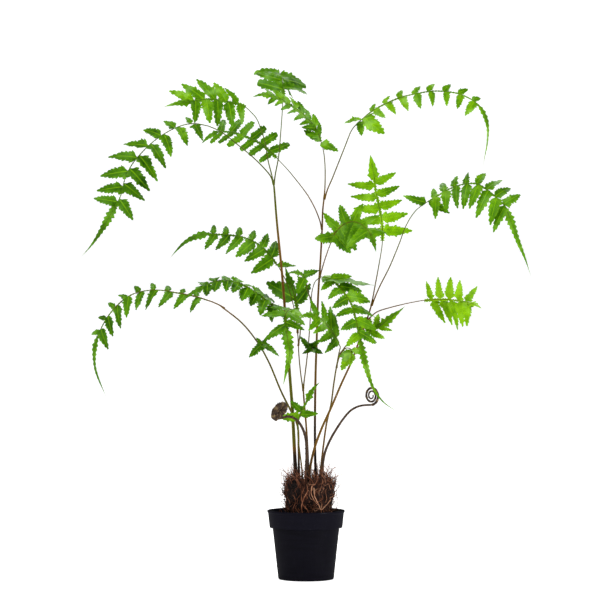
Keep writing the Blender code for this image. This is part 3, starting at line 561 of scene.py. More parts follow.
FRONDS = [
    Frond(
        "tall_left",
        [(-1.6, -0.2, 13.5), (-1.6, -0.2, 16), (-1.8, -0.2, 20), (-2.1, -0.2, 26), (-2.4, -0.2, 30),
         (-3, -0.3, 38), (-3.7, -0.3, 47), (-4.5, -0.2, 55), (-4.9, 0, 60), (-5.05, 0, 61.4)],
        (0.32, 0.13),
        [
            Blade(
                "outer",
                [(-5, 0, 61), (-5.7, -0.3, 62.6), (-8, -1, 65), (-10.5, -2, 67), (-13, -2.8, 68.9),
                 (-15, -3.2, 69.8)],
                [(-15, -3.2, 69.8), (-17, -3.4, 70.15), (-19, -3.4, 69.9), (-21.5, -3.2, 68.8),
                 (-24, -3, 67), (-26.5, -3, 64.3), (-27.8, -3.2, 61.8), (-28.5, -3.5, 59),
                 (-29.9, -3.8, 56.3), (-31.5, -4, 53.5), (-33, -4, 51.3), (-34.7, -4, 49.4)],
                8,
                ((3.2, 115), (4.7, 80), (3.9, 56)),
                ((1.8, 66), (4.7, 56), (3.3, 72)),
                9.5,
                ((0.1, -0.7, 0.7), (0.4, -1, 0.1)),
            ),
            Blade(
                "middle",
                [(-5, 0, 61), (-5.35, -0.9, 62.6), (-5.9, -1.4, 64.8), (-6.3, -2, 67.3), (-6.9, -2.8, 69.2),
                 (-7.6, -3.6, 70.9), (-8.7, -4.5, 72.1)],
                [(-8.7, -4.5, 72.1), (-9.7, -5.2, 72.8), (-11.3, -6, 73.1), (-14, -7.4, 73.4),
                 (-15.7, -8.4, 73.3), (-17.5, -9.4, 72.9), (-19.4, -10.6, 72.5), (-21.4, -12, 71.8)],
                5,
                ((2.8, 110), (4.3, 92), (3.8, 62)),
                ((2.6, 62), (4.4, 56), (3.8, 46)),
                4.6,
                ((0.1, -0.95, 0.35), (0.1, -0.9, 0.5)),
            ),
            Blade(
                "top",
                [(-5, 0, 61), (-4.7, 0.5, 63), (-4.25, 0.8, 65.5), (-3.95, 1.2, 69), (-3.7, 1.6, 72.5),
                 (-3.65, 1.8, 74.3)],
                [(-3.65, 1.8, 74.3), (-3.6, 2.2, 75.6), (-3.7, 3.3, 77.2), (-3.9, 5, 78.4), (-4.2, 7.2, 79),
                 (-4.4, 9.6, 78.8), (-4.6, 12, 77.8), (-4.8, 14.2, 76.2)],
                5,
                ((3.8, 75), (4.2, 75), (3.6, 70)),
                ((4.4, 80), (4.6, 80), (3.6, 70)),
                4.2,
                ((0.3, -0.9, 0.3), (0.3, -0.7, 0.7)),
                droop=0.3,
            ),
        ],
    ),
    Frond(
        "centre",
        [(1.5, 0.4, 13.5), (1.5, 0.4, 16), (1.4, 0.4, 20), (1.4, 0.5, 26), (1.5, 0.6, 32),
         (1.7, 0.6, 38), (1.9, 0.5, 44), (2.2, 0.4, 48.5), (2.5, 0.3, 54), (2.6, 0.2, 57),
         (2.85, 0, 59.2)],
        (0.22, 0.12),
        [
            Blade(
                "left",
                [(2.5, 0.3, 54), (2.1, 0.8, 55.6), (1.3, 1.3, 57.6), (0, 2.1, 59.9), (-2.5, 3.4, 63.2),
                 (-4.1, 4.3, 65)],
                [(-4.1, 4.3, 65), (-5.4, 4.8, 66.4), (-7.1, 5.6, 67.9), (-9.2, 6.6, 69), (-11.2, 7.6, 69.8),
                 (-12.8, 8.4, 70.1), (-14.4, 9.2, 70), (-15.8, 9.9, 69.2), (-16.8, 10.4, 68.2)],
                6,
                ((2.4, 100), (3, 76), (2.8, 50)),
                ((3.6, 112), (3.8, 96), (3.2, 80)),
                3.4,
                ((0.2, -0.85, 0.5), (0.2, -0.8, 0.6)),
            ),
            Blade(
                "top",
                [(2.8, 0, 58.7), (2.95, -0.6, 61), (2.95, -1.6, 63.5), (2.8, -2.4, 65.3), (2.55, -3, 66.7)],
                [(2.55, -3, 66.7), (1.8, -3.3, 68.7), (0.9, -3.6, 70.2), (-0.3, -3.9, 71.4),
                 (-1.7, -4.2, 72.5), (-3.3, -4.5, 73.5), (-4.9, -4.8, 74.2), (-6.6, -5.1, 74.5),
                 (-8.3, -5.4, 74)],
                8,
                ((2.2, 60), (1.9, 60), (1.7, 60)),
                ((2.3, 50), (2.6, 42), (2.2, 42)),
                3,
                ((0.5, -0.8, 0.4), (0.2, -0.8, 0.6)),
                droop=0.25,
                singles=[
                    ("right", 0.6, (4.7, -4.4, 65.6)),
                    ("left", 1.1, (-0.4, -3.6, 68.9)),
                ],
            ),
            Blade(
                "right_arch",
                [(2.85, 0, 58.7), (3.4, -0.3, 60.4), (4.1, -0.6, 62), (5.3, -1.2, 65), (6.1, -1.6, 67),
                 (7, -2, 69.2), (8, -2.4, 70.4)],
                [(8, -2.4, 70.4), (8.6, -2.6, 70.9), (10.1, -3, 72.1), (11.7, -3.2, 73), (14.3, -3.6, 74.1),
                 (16.8, -3.9, 74.7), (19.7, -4.2, 75.1), (22.7, -4.6, 74.8), (24.8, -4.9, 74),
                 (26.3, -5.1, 72.9), (27.3, -5.2, 71.4), (27.8, -5.3, 69.3), (27.7, -5.3, 66.9),
                 (27.3, -5.4, 64.9), (27, -5.4, 63.2)],
                8,
                ((1.8, 60), (2.1, 60), (1.8, 50)),
                ((2.2, 70), (2.4, 84), (2.4, 80)),
                10,
                ((-0.3, -0.7, 0.6), (0.7, -0.75, 0.1)),
                droop=0.3, first=1.8,
                singles=[
                    ("left", 0.8, (5.8, -3.6, 70.2)),
                    ("right", 1.3, (11.8, -3.8, 68.4)),
                    ("right", 0.35, (8.5, -3.4, 68.3)),
                ],
            ),
            Blade(
                "fan",
                [(2.1, 0.4, 46.5), (2.6, -0.6, 48.3), (3.2, -1.8, 50.2), (3.8, -2.8, 51.8)],
                [(3.8, -2.8, 51.8), (4.5, -4, 53.4), (5.9, -5.6, 54.6), (7.4, -7.4, 54.8), (8.9, -9, 53.9),
                 (9.9, -10.6, 52.3), (10.5, -12, 49.9)],
                6,
                ((3.6, 140), (3.2, 84), (2.8, 54)),
                ((4, 116), (4.3, 96), (3.8, 72)),
                3.6,
                ((-0.1, -1, -0.2), (0.1, -0.8, 0.6)),
                droop=0.3, first=0.6,
            ),
        ],
    ),
    Frond(
        "right",
        [(0.5, -0.5, 13.5), (0.55, -0.5, 16.5), (1.2, -0.7, 19.8), (2.4, -0.9, 23.2),
         (3.9, -1, 26.5), (5.4, -1, 30), (7, -1, 33.5), (8.5, -1, 37.6), (9.5, -1, 40.3),
         (10.2, -1, 42.6)],
        (0.21, 0.12),
        [
            Blade(
                "upright",
                [(10.1, -1, 42.2), (10.6, -0.6, 44.8), (11.2, -0.4, 48), (11.7, 0, 50.8), (11.85, 0.2, 52)],
                [(11.85, 0.2, 52), (11.9, 0.3, 53.8), (11.7, 0.4, 55.8), (11.3, 0.4, 58), (10.85, 0.4, 60),
                 (10.6, 0.4, 62), (10.3, 0.3, 64), (10, 0.2, 65.7)],
                5,
                ((4.3, 92), (3.8, 78), (4.4, 80)),
                ((5.1, 96), (3.7, 88), (4.1, 70)),
                3.8,
                ((0.15, -1, 0.1), (0.1, -1, 0.1)),
                first=0.7, end_lobe_width=1.4,
            ),
            Blade(
                "arch",
                [(10.15, -1, 42.2), (11.3, -1.4, 45), (12.9, -1.8, 48.2), (14.3, -2.3, 51.6),
                 (15.4, -2.6, 54.5), (16.7, -2.9, 56.6), (18.1, -3.1, 57.8)],
                [(18.1, -3.1, 57.8), (19.3, -3.2, 58.5), (20.6, -3.4, 59.3), (21.8, -3.6, 60),
                 (23.7, -4, 60.7), (25.7, -4.4, 60.9), (27.1, -4.7, 60.3), (28.6, -5, 59.1),
                 (30.2, -5.2, 57.6), (30.8, -5.4, 56.3), (31.6, -5.5, 54.2), (32.5, -5.5, 51.7),
                 (33.4, -5.5, 49.4), (34.4, -5.4, 46.4)],
                8,
                ((2.8, 80), (3, 84), (4.3, 88)),
                ((3.8, 118), (4, 98), (4.6, 52)),
                11,
                ((-0.4, -0.6, 0.7), (0.5, -0.9, 0.2)),
                droop=0.25,
                singles=[
                    ("left", 0.4, (14.9, -3.6, 58.9)),
                    ("right", 1.0, (21.8, -3.9, 56.1)),
                ],
            ),
            Blade(
                "low",
                [(9.45, -1, 39.9), (10.9, -1.8, 41.2), (13, -3, 41.9), (15.5, -4.2, 42.5),
                 (17.6, -5.2, 42.9)],
                [(17.6, -5.2, 42.9), (19.4, -6.2, 43), (21.3, -7.4, 43), (23.1, -8.8, 42.8),
                 (24.4, -10.2, 42.5), (25.5, -11.6, 42.1), (26.2, -13, 41.5)],
                5,
                ((3.2, 104), (4.4, 106), (3.6, 104)),
                ((4.2, 60), (5, 54), (4.6, 52)),
                3.2,
                ((0.3, -0.95, 0.2), (0.3, -0.9, 0.3)),
                first=0.9,
            ),
        ],
    ),
    Frond(
        "low_left",
        [(-1.1, 0.6, 13.5), (-1.1, 0.6, 16), (-1.15, 0.7, 20), (-1.3, 0.8, 23.5), (-2.4, 0.9, 26),
         (-3.9, 0.9, 29), (-5.7, 0.8, 33.3), (-7.5, 0.6, 36.5), (-9.9, 0.2, 39.5), (-13, -0.4, 42)],
        (0.19, 0.11),
        [
            Blade(
                "long",
                [(-12.6, -0.33, 41.75), (-13.4, -0.5, 42.3), (-14.5, -0.7, 42.8)],
                [(-14.5, -0.7, 42.8), (-17, -1.1, 43.6), (-20, -1.6, 44.2), (-23, -2.1, 44.6),
                 (-26, -2.6, 44.2), (-28.3, -2.9, 42.9), (-30.4, -3.1, 40.6), (-31.7, -3.2, 38.2),
                 (-32.5, -3.2, 35.8), (-32.5, -3.2, 33.2), (-31.9, -3.2, 31), (-30.5, -3.2, 27.8)],
                9,
                ((3.0, 66), (3.7, 60), (3.2, 52)),
                ((2.2, 88), (2.3, 82), (2.2, 76)),
                10,
                ((0.2, -0.6, 0.8), (-0.8, -0.7, 0.3)),
                droop=0.3, end_lobe_width=0.8,
            ),
            Blade(
                "small",
                [(-6.9, 0.7, 35.5), (-6.85, 0.1, 35.9), (-6.8, -0.5, 36.1)],
                [(-6.8, -0.5, 36.1), (-6.7, -1.5, 36.3), (-6.5, -2.6, 36.1), (-6.3, -3.6, 35.6)],
                0,
                ((1, 60), (1, 60), (1, 60)),
                ((1, 60), (1, 60), (1, 60)),
                1.3,
                ((0.1, -1, 0.3), (0, -1, 0.3)),
                first=0.6, end_lobe_width=0.8,
                singles=[
                    ("left", 0.3, (-5.9, -0.6, 37.6)),
                    ("right", 0.75, (-8.9, -1.6, 34.4)),
                    ("left", 1.2, (-4, -2.4, 34.5)),
                    ("right", 1.65, (-7.6, -2.8, 37.3)),
                ],
            ),
        ],
    ),
    Frond(
        "inner_left",
        [(0.3, 0.5, 13.5), (0.35, 0.5, 16.5), (0.25, 0.4, 20), (0, 0.3, 24), (-0.3, 0.2, 27.5),
         (-0.45, 0.1, 29.5)],
        (0.18, 0.13),
        [
            Blade(
                "mid",
                [(-0.42, 0.15, 29), (-0.8, 0.6, 31.5), (-1.1, 1, 34.5), (-1.3, 1.4, 38), (-1.9, 1.8, 42),
                 (-3, 2.2, 45.8), (-4.2, 2.4, 48.2)],
                [(-4.2, 2.4, 48.2), (-5.6, 2.5, 50.1), (-7.2, 2.6, 51.7), (-9, 2.6, 52.7), (-11, 2.6, 53.2),
                 (-13.3, 2.6, 53.4), (-15.5, 2.5, 53.5), (-17.5, 2.4, 53), (-19, 2.3, 52.1),
                 (-20.2, 2.2, 50.9), (-21.4, 2.1, 49.5)],
                6,
                ((4.4, 96), (3.7, 70), (3, 60)),
                ((4, 66), (2.2, 80), (2.2, 92)),
                7.6,
                ((0.2, -0.75, 0.6), (0.1, -0.8, 0.5)),
                droop=0.2, first=0.9,
                singles=[
                    ("right", 0.5, (-1.6, 1.6, 48.2)),
                ],
            ),
            Blade(
                "behind",
                [(-1.3, 1.4, 38), (-1.2, 2.4, 39.6), (-1.3, 3.2, 41)],
                [(-1.3, 3.2, 41), (-1.5, 3.7, 42.6), (-1.9, 4.1, 44.2), (-2.4, 4.4, 45.8),
                 (-2.9, 4.6, 47.2), (-3.3, 4.7, 48.6)],
                0,
                ((1, 60), (1, 60), (1, 60)),
                ((1, 60), (1, 60), (1, 60)),
                3.4,
                ((0.1, -1, 0.3), (0.1, -1, 0.3)),
                first=0.8, end_lobe_width=1.2,
                singles=[
                    ("left", 2.6, (-6.2, 4.4, 45.9)),
                    ("right", 1.8, (0.9, 4.6, 45.6)),
                ],
            ),
            Blade(
                "glossy",
                [(-1.3, 1.4, 38), (-1.5, 0.4, 39.6), (-2.1, -1, 40.8), (-3.3, -2, 41.4)],
                [(-3.3, -2, 41.4), (-5, -2.6, 42.2), (-6.6, -3.2, 43.4), (-8.2, -3.7, 44.5),
                 (-9.8, -4.2, 45.4), (-12, -4.8, 46), (-14.2, -5.3, 45.7), (-16, -5.7, 44.9),
                 (-17.6, -6, 43.9), (-18.8, -6.2, 42.8)],
                8,
                ((2.6, 96), (2.2, 74), (1.8, 62)),
                ((2.9, 140), (1.9, 115), (1.7, 88)),
                3.6,
                ((-0.4, -0.6, 0.7), (0.3, -0.55, 0.8)),
                droop=0.35,
            ),
            Blade(
                "hanging",
                [(-1.2, 1.15, 36), (-0.9, 0, 38), (-1, -1.6, 40.2), (-1.5, -3, 41.4)],
                [(-1.5, -3, 41.4), (-2.4, -4.6, 41.6), (-3.1, -6, 40.8), (-3.1, -6.8, 39.2), (-2.8, -7, 37),
                 (-2.5, -7, 35), (-2.8, -6.9, 33.1), (-3.5, -6.8, 29.9)],
                3,
                ((3.2, 75), (3.4, 70), (2.8, 65)),
                ((3.2, 80), (3.6, 75), (4.2, 60)),
                8.8,
                ((0, -0.5, 0.9), (0.1, -1, 0.1)),
                first=0.8, end_lobe_width=1.3,
            ),
            Blade(
                "inner_arch",
                [(-0.44, 0.12, 29.3), (-0.1, -0.5, 32), (0.25, -0.8, 35), (0.55, -1, 38.5),
                 (0.75, -1.1, 42), (0.9, -1.25, 44.2), (1.3, -1.55, 45.7), (1.8, -1.9, 46.3)],
                [(1.8, -1.9, 46.3), (2.4, -2.35, 46.6), (3.8, -3.2, 46.3), (4.9, -4, 45.3), (5.9, -4.8, 44),
                 (6.9, -5.6, 42.4), (7.4, -6.3, 40.7), (7.8, -6.9, 38.9), (8.2, -7.4, 37), (8.6, -7.7, 35),
                 (9.2, -7.9, 32.5), (10.1, -8, 29.8), (11.6, -8, 27.6), (13.9, -8, 25.9)],
                6,
                ((3.4, 50), (4.1, 70), (3.4, 58)),
                ((2.8, 84), (3, 78), (2.8, 60)),
                13,
                ((0.3, -0.8, 0.55), (0.5, -0.85, 0.2)),
                first=1.6,
                singles=[
                    ("left", 1, (10.4, -4.8, 45.2)),
                ],
            ),
            Blade(
                "cross",
                [(0.8, -1.15, 43), (0.2, -2.2, 44.6), (0, -3.2, 46)],
                [(0, -3.2, 46), (-0.6, -3.8, 47), (-1.8, -4.4, 47.3), (-3, -5, 47)],
                0,
                ((1, 60), (1, 60), (1, 60)),
                ((1, 60), (1, 60), (1, 60)),
                2.4,
                ((0, -0.8, 0.6), (0, -0.8, 0.6)),
                first=0.4, end_lobe_width=0.9,
                singles=[
                    ("left", 0.5, (-1.4, -4.6, 44)),
                    ("right", 1.0, (2, -4.2, 47.4)),
                ],
            ),
            Blade(
                "tuft",
                [(0.25, -0.8, 35), (0.5, -1.6, 35.6), (0.7, -2.4, 35.7)],
                [(0.7, -2.4, 35.7), (0.9, -3.4, 35.6), (1.1, -4.6, 35.3), (1.2, -5.4, 34.9)],
                0,
                ((1, 60), (1, 60), (1, 60)),
                ((1, 60), (1, 60), (1, 60)),
                1.2,
                ((0, -1, 0.5), (0, -1, 0.4)),
                first=0.4, end_lobe_width=0.8,
                singles=[
                    ("left", 0.3, (2.2, -3, 37)),
                    ("right", 0.75, (-1, -2.8, 37.6)),
                    ("left", 1.2, (2.6, -4, 34.9)),
                    ("right", 1.65, (-0.6, -3.8, 34.9)),
                ],
            ),
        ],
    ),
    Frond(
        "inner_right",
        [(2.2, 0.4, 13.5), (2.3, 0.4, 16.8), (2.7, 0.5, 20.5), (3.2, 0.6, 24), (3.9, 0.7, 27),
         (4.3, 0.8, 30), (4.8, 0.8, 33), (5.4, 0.7, 35)],
        (0.16, 0.11),
        [
            Blade(
                "side",
                [(5.3, 0.7, 34.7), (6.2, 0.7, 36), (7.3, 0.8, 37)],
                [(7.3, 0.8, 37), (8.8, 1, 37.7), (10.3, 1.2, 38.4), (11.8, 1.4, 39.3), (13.2, 1.5, 40.4),
                 (14.4, 1.5, 41.3), (15.5, 1.5, 42.2)],
                3,
                ((3, 60), (2.8, 60), (2.6, 55)),
                ((2.6, 60), (2.4, 60), (2, 50)),
                4.8,
                ((-0.3, -0.85, 0.4), (-0.3, -0.85, 0.3)),
                first=0.8, end_lobe_width=1.4,
            ),
            Blade(
                "front",
                [(4.75, 0.8, 32.6), (5, -0.4, 34.4), (5.3, -1.8, 35.8)],
                [(5.3, -1.8, 35.8), (4.6, -3.6, 37.2), (3.6, -5.4, 38.6), (2.4, -7, 39.9),
                 (1.1, -8.4, 40.6), (-0.2, -9.6, 40.6), (-1.2, -10.6, 40)],
                4,
                ((4, 58), (3.8, 60), (3, 50)),
                ((3.6, 62), (3.8, 60), (3, 50)),
                3.6,
                ((0.2, -0.8, 0.5), (0.1, -0.9, 0.4)),
            ),
            Blade(
                "pale",
                [(5.3, 0.7, 34.7), (6.1, -0.4, 35.6), (6.8, -1.6, 35.6)],
                [(6.8, -1.6, 35.6), (7, -2.8, 34.9), (6.9, -3.8, 33.8), (6.7, -4.4, 32.6)],
                0,
                ((1, 60), (1, 60), (1, 60)),
                ((1, 60), (1, 60), (1, 60)),
                2.2,
                ((0, -0.8, 0.6), (0, -1, 0)),
                first=0.4, end_lobe_width=1,
                singles=[
                    ("left", 0.4, (9, -3, 34.6)),
                    ("right", 0.9, (5, -3.2, 34.4)),
                    ("right", 1.6, (5.2, -4.2, 32.4)),
                ],
            ),
        ],
    ),
    Frond(
        "young",
        [(-0.5, -0.7, 13.5), (-0.6, -0.7, 16.5), (-0.95, -0.6, 19.5), (-1.25, -0.65, 22),
         (-1.25, -0.9, 23.5)],
        (0.12, 0.09),
        [
            Blade(
                "tip",
                [(-1.26, -0.85, 23.2), (-1.25, -1, 24), (-1.1, -1.2, 24.6)],
                [(-1.1, -1.2, 24.6), (-0.8, -1.4, 25.6), (-0.3, -1.5, 26.6), (0.2, -1.6, 27.6),
                 (1, -1.7, 29.2), (2.2, -1.7, 30.5)],
                0,
                ((1, 60), (1, 60), (1, 60)),
                ((1, 60), (1, 60), (1, 60)),
                3.4,
                ((0.1, -1, 0.1), (0.1, -1, 0.1)),
                first=0.8, end_lobe_width=0.9,
                singles=[
                    ("left", 0.5, (-4.4, -2, 24.7)),
                    ("left", 1.4, (-2.5, -2, 27.4)),
                    ("right", 0.9, (1.8, -2, 25.4)),
                ],
            ),
        ],
    ),
]


@dataclass
class Fiddlehead:
    """A rolled young frond: a stem from inside the root crown, then a spiral tube in a plane of its own.

    `coil_x` is the way the stem runs as it enters the coil, and `coil_z` points from there to the
    coil's middle.
    """

    name: str
    stem: list
    radius: tuple
    coil_radius: tuple
    turns: float
    coil_x: tuple
    coil_z: tuple


FIDDLEHEADS = [
    Fiddlehead(
        "fiddlehead_left",
        [(0.0, -1.3, 13.5), (0.0, -1.4, 16.5), (0.1, -1.7, 19.5), (-0.1, -2.1, 22), (-0.8, -2.6, 23.8),
         (-1.7, -2.9, 24.8), (-2.7, -3.2, 25.15), (-3.6, -3.6, 25), (-4.4, -4.15, 24.85)],
        (0.22, 0.19), (1.45, 0.30), 2.1, (-0.7, -0.7, -0.1), (0.42, -0.28, 0.86),
    ),
    Fiddlehead(
        "fiddlehead_right",
        [(2.5, -0.5, 13.5), (2.55, -0.5, 17), (2.9, -0.6, 19.4), (3.7, -0.8, 21.4), (4.6, -1.0, 23),
         (5.8, -1.2, 24.8),
         (7, -1.4, 26.1), (8.4, -1.5, 26.75), (10.1, -1.5, 26.9)],
        (0.21, 0.15), (1.42, 0.30), 2.3, (0.74, -0.67, 0), (0, 0, 1),
    ),
]

class Form(Enum):
    """The forms of leaflet."""

    EARED = "eared"
    CUT = "cut"
    BLUNT = "blunt"


@dataclass
class Dress:
    """How one pinna looks: its leaflets' form, tone, wax and proportions, its wing and its end lobe."""

    form: Form = Form.EARED
    tone: float = 0.42
    gloss: float = 0.1
    width: float = 0.42
    wing: float = 0.0
    turn: float = 0.75
    twist: float = 1.0
    roll: float = 0.30
    ripple: float = 0.06
    tail_width: float = 1.6
    tail_teeth: float = 0.46
    tail_lobes: float = 1.35
    tail_taper: float = 1.25


DRESSES = {
    "tall_left_outer": Dress(tone=0.30, wing=0.0012, width=0.48, tail_taper=1.5),
    "tall_left_middle": Dress(Form.CUT, tone=0.50, gloss=0.4, width=0.42, wing=0.0035, ripple=0.09),
    "tall_left_top": Dress(Form.BLUNT, tone=0.36, gloss=0.3, width=0.44, wing=0.0050),
    "centre_left": Dress(Form.BLUNT, tone=0.34, width=0.40, wing=0.0040),
    "centre_top": Dress(Form.CUT, tone=0.44, gloss=0.35, width=0.48, wing=0.0045),
    "centre_right_arch": Dress(Form.CUT, tone=0.58, gloss=0.4, width=0.50, wing=0.0020, tail_taper=1.4,
                               tail_width=1.0),
    "centre_fan": Dress(Form.CUT, tone=0.48, gloss=0.2, width=0.46, wing=0.0060),
    "right_upright": Dress(Form.EARED, tone=0.72, gloss=0.1, width=0.40, wing=0.0035, tail_width=1.5,
                           tail_teeth=0.3, tail_taper=0.9),
    "right_arch": Dress(Form.CUT, tone=0.44, gloss=0.2, width=0.38, wing=0.0025, tail_taper=1.3),
    "right_low": Dress(Form.EARED, tone=0.82, gloss=0.1, width=0.34, wing=0.0030),
    "low_left_long": Dress(Form.CUT, tone=0.32, gloss=0.1, width=0.40, wing=0.0020, tail_taper=1.3),
    "low_left_small": Dress(Form.CUT, tone=0.26, width=0.45, wing=0.0020),
    "inner_left_mid": Dress(Form.CUT, tone=0.28, width=0.44, wing=0.0030, tail_taper=1.4),
    "inner_left_behind": Dress(Form.CUT, tone=0.24, width=0.52, wing=0.0040),
    "inner_left_glossy": Dress(Form.CUT, tone=0.34, gloss=0.8, width=0.85, wing=0.0050),
    "inner_left_inner_arch": Dress(Form.CUT, tone=0.50, gloss=0.3, width=0.46, wing=0.0030, tail_taper=1.4),
    "inner_left_hanging": Dress(Form.CUT, tone=0.42, gloss=0.2, width=0.42, wing=0.0050, tail_taper=1.1),
    "inner_left_cross": Dress(Form.CUT, tone=0.30, width=0.50, wing=0.0050),
    "inner_left_tuft": Dress(Form.CUT, tone=0.20, width=0.50, wing=0.0040),
    "inner_right_front": Dress(Form.EARED, tone=0.46, gloss=0.5, width=0.40, wing=0.0050),
    "inner_right_side": Dress(Form.CUT, tone=0.62, gloss=0.3, width=0.44, wing=0.0040),
    "inner_right_pale": Dress(Form.CUT, tone=0.66, gloss=0.6, width=0.60, wing=0.0040),
    "young_tip": Dress(Form.CUT, tone=0.50, width=0.46, wing=0.0025),
}

# colour along each stem, as (height in centimetres, place on the stem's colour ramp)
TINTS = {
    "tall_left": ((15, 0.02), (18.5, 0.10), (21, 0.72), (34, 0.74), (38, 0.46), (53, 0.50), (58, 0.78),
                  (80, 0.88)),
    "centre": ((15, 0.02), (18, 0.06), (24, 0.30), (36, 0.62), (46, 0.46), (57, 0.40), (62, 0.66),
               (80, 0.88)),
    "right": ((15, 0.10), (17, 0.40), (22, 0.52), (36, 0.50), (42, 0.46), (48, 0.66), (56, 0.80),
              (70, 0.90)),
    "low_left": ((15, 0.05), (19, 0.40), (26, 0.66), (36, 0.70), (42, 0.50), (50, 0.72)),
    "inner_left": ((15, 0.05), (19, 0.30), (27, 0.62), (38, 0.55), (48, 0.72), (60, 0.80)),
    "inner_right": ((15, 0.10), (18, 0.42), (26, 0.60), (36, 0.66), (50, 0.80)),
    "young": ((15, 0.10), (18, 0.62), (24, 0.80), (32, 0.90)),
}

# for each fiddlehead: its coil's bulk, how much the coil thins, and its scales
ROLLED = {
    "fiddlehead_left": (1.9, 0.10, dict(
        Density=90000.0, Spacing=0.0012, Shortest=0.002, Longest=0.0042, Radius=0.00045, Lift=0.06,
        Wander=0.6, Curl=0.10, Turns=4.0, Darkest=0.0, Palest=0.55, Trend=(0.0, 0.0, 0.2), Seed=5)),
    "fiddlehead_right": (1.35, 0.50, dict(
        Density=30000.0, Spacing=0.0020, Shortest=0.0015, Longest=0.0032, Radius=0.00025, Lift=0.25,
        Wander=0.7, Curl=0.10, Turns=4.0, Darkest=0.05, Palest=0.6, Trend=(0.0, 0.0, 0.2), Seed=9)),
}

# the thick roots of the crown: their points in centimetres, their radius, and how pale they are
THICK_ROOTS = [
    ([(-0.4, -3.6, 9.8), (-0.7, -4.3, 11.2), (-0.4, -4.5, 12.6), (0.2, -4.4, 13.8),
      (0.1, -3.9, 14.9)], 0.085, 0.72),
    ([(0.6, -3.6, 9.8), (0.2, -4.3, 10.9), (-0.5, -4.5, 11.8), (-0.7, -4.5, 13.2),
      (-0.2, -4.2, 14.4)], 0.07, 0.66),
    ([(1.2, -4.3, 14.3), (1.3, -4.7, 13.1), (1.9, -4.8, 11.8), (2.3, -4.7, 11.0), (3.0, -4.5, 11.6),
      (3.8, -4.2, 12.5)], 0.06, 0.98),
    ([(0.9, -4.2, 14.6), (0.8, -4.7, 13.4), (1.4, -4.7, 12.2), (2.2, -4.6, 11.4)], 0.055, 0.9),
    ([(2.4, -3.7, 9.9), (2.3, -4.4, 11.0), (2.4, -4.5, 12.0)], 0.06, 0.85),
    ([(-1.7, -3.3, 9.8), (-2.0, -3.9, 11.0), (-1.6, -4.2, 12.2), (-1.9, -4.1, 13.3)], 0.055, 0.6),
    ([(-3.3, -2.0, 11.0), (-4.2, -2.2, 12.4), (-5.0, -2.3, 13.4), (-5.7, -2.4, 14.3)], 0.028, 0.75),
    ([(4.2, -1.6, 12.6), (5.2, -1.8, 13.3), (5.9, -1.9, 13.1), (6.5, -1.9, 13.1),
      (6.9, -1.9, 13.5)], 0.024, 0.8),
    ([(4.1, -1.2, 14.0), (4.6, -1.3, 15.4), (5.0, -1.3, 16.3), (5.4, -1.2, 17.3)], 0.045, 0.45),
    ([(3.0, -1.0, 15.2), (3.3, -1.1, 16.6), (3.5, -1.1, 17.3), (3.8, -1.1, 18.0)], 0.026, 0.6),
    ([(4.6, -0.8, 10.6), (4.9, -1.0, 12.2), (4.7, -1.1, 13.4), (5.2, -1.1, 14.8)], 0.05, 0.3),
]

# ---------------------------------------------------------------- paths and meshes

def smooth(points: list, per_span: int) -> list[Vector]:
    """A Catmull-Rom curve through points.

    Args:
        points: The points.
        per_span: How many steps each span is cut into.

    Returns:
        Points along the curve, both ends included.
    """
    ends = [2 * points[0] - points[1], *points, 2 * points[-1] - points[-2]]
    made = []
    for a, b, c, d in zip(ends, ends[1:], ends[2:], ends[3:]):
        for step in range(per_span):
            t = step / per_span
            made.append(0.5 * ((2 * b) + (c - a) * t + (2 * a - 5 * b + 4 * c - d) * t ** 2
                               + (3 * b - a - 3 * c + d) * t ** 3))
    made.append(points[-1].copy())
    return made


def metres(point: tuple) -> Vector:
    """A plan point in metres."""
    return Vector(point) * CM


def between(knots: tuple, share: float) -> tuple:
    """The values at a share of the way along three knots.

    Args:
        knots: The values at the start, the middle and the end.
        share: 0 for the start, 1 for the end.

    Returns:
        One value for each of a knot's.
    """
    place = min(2 * share, 1.9999)
    low = knots[int(place)]
    high = knots[int(place) + 1]
    return tuple(start + (end - start) * (place % 1) for start, end in zip(low, high))


class Spine:
    """A rachis as a smooth path that can be read at any distance along it."""

    def __init__(self, points: list, face: tuple) -> None:
        """Measures the path.

        Args:
            points: Plan points.
            face: The directions that its upper side looks in, at its start and at its tip.
        """
        self.points = smooth([metres(point) for point in points], 12)
        self.along = [0.0]
        for start, end in zip(self.points, self.points[1:]):
            self.along.append(self.along[-1] + (end - start).length)
        self.length = self.along[-1]
        self.face = [Vector(direction).normalized() for direction in face]

    def at(self, distance: float) -> tuple[Vector, Vector, Vector, Vector]:
        """Reads the path.

        Args:
            distance: Metres from the start.

        Returns:
            Position, tangent, the upper side's normal, and the direction of its right side.
        """
        distance = min(max(distance, 0.0), self.length)
        index = max(i for i, value in enumerate(self.along[:-1]) if value <= distance)
        share = (distance - self.along[index]) / (self.along[index + 1] - self.along[index])
        ahead, behind = min(index + 2, len(self.points) - 1), max(index - 1, 0)
        tangent = (self.points[ahead] - self.points[behind]).normalized()
        normal = self.face[0].lerp(self.face[1], distance / self.length)
        normal = (normal - normal.dot(tangent) * tangent).normalized()
        position = self.points[index].lerp(self.points[index + 1], share)
        return position, tangent, normal, tangent.cross(normal)


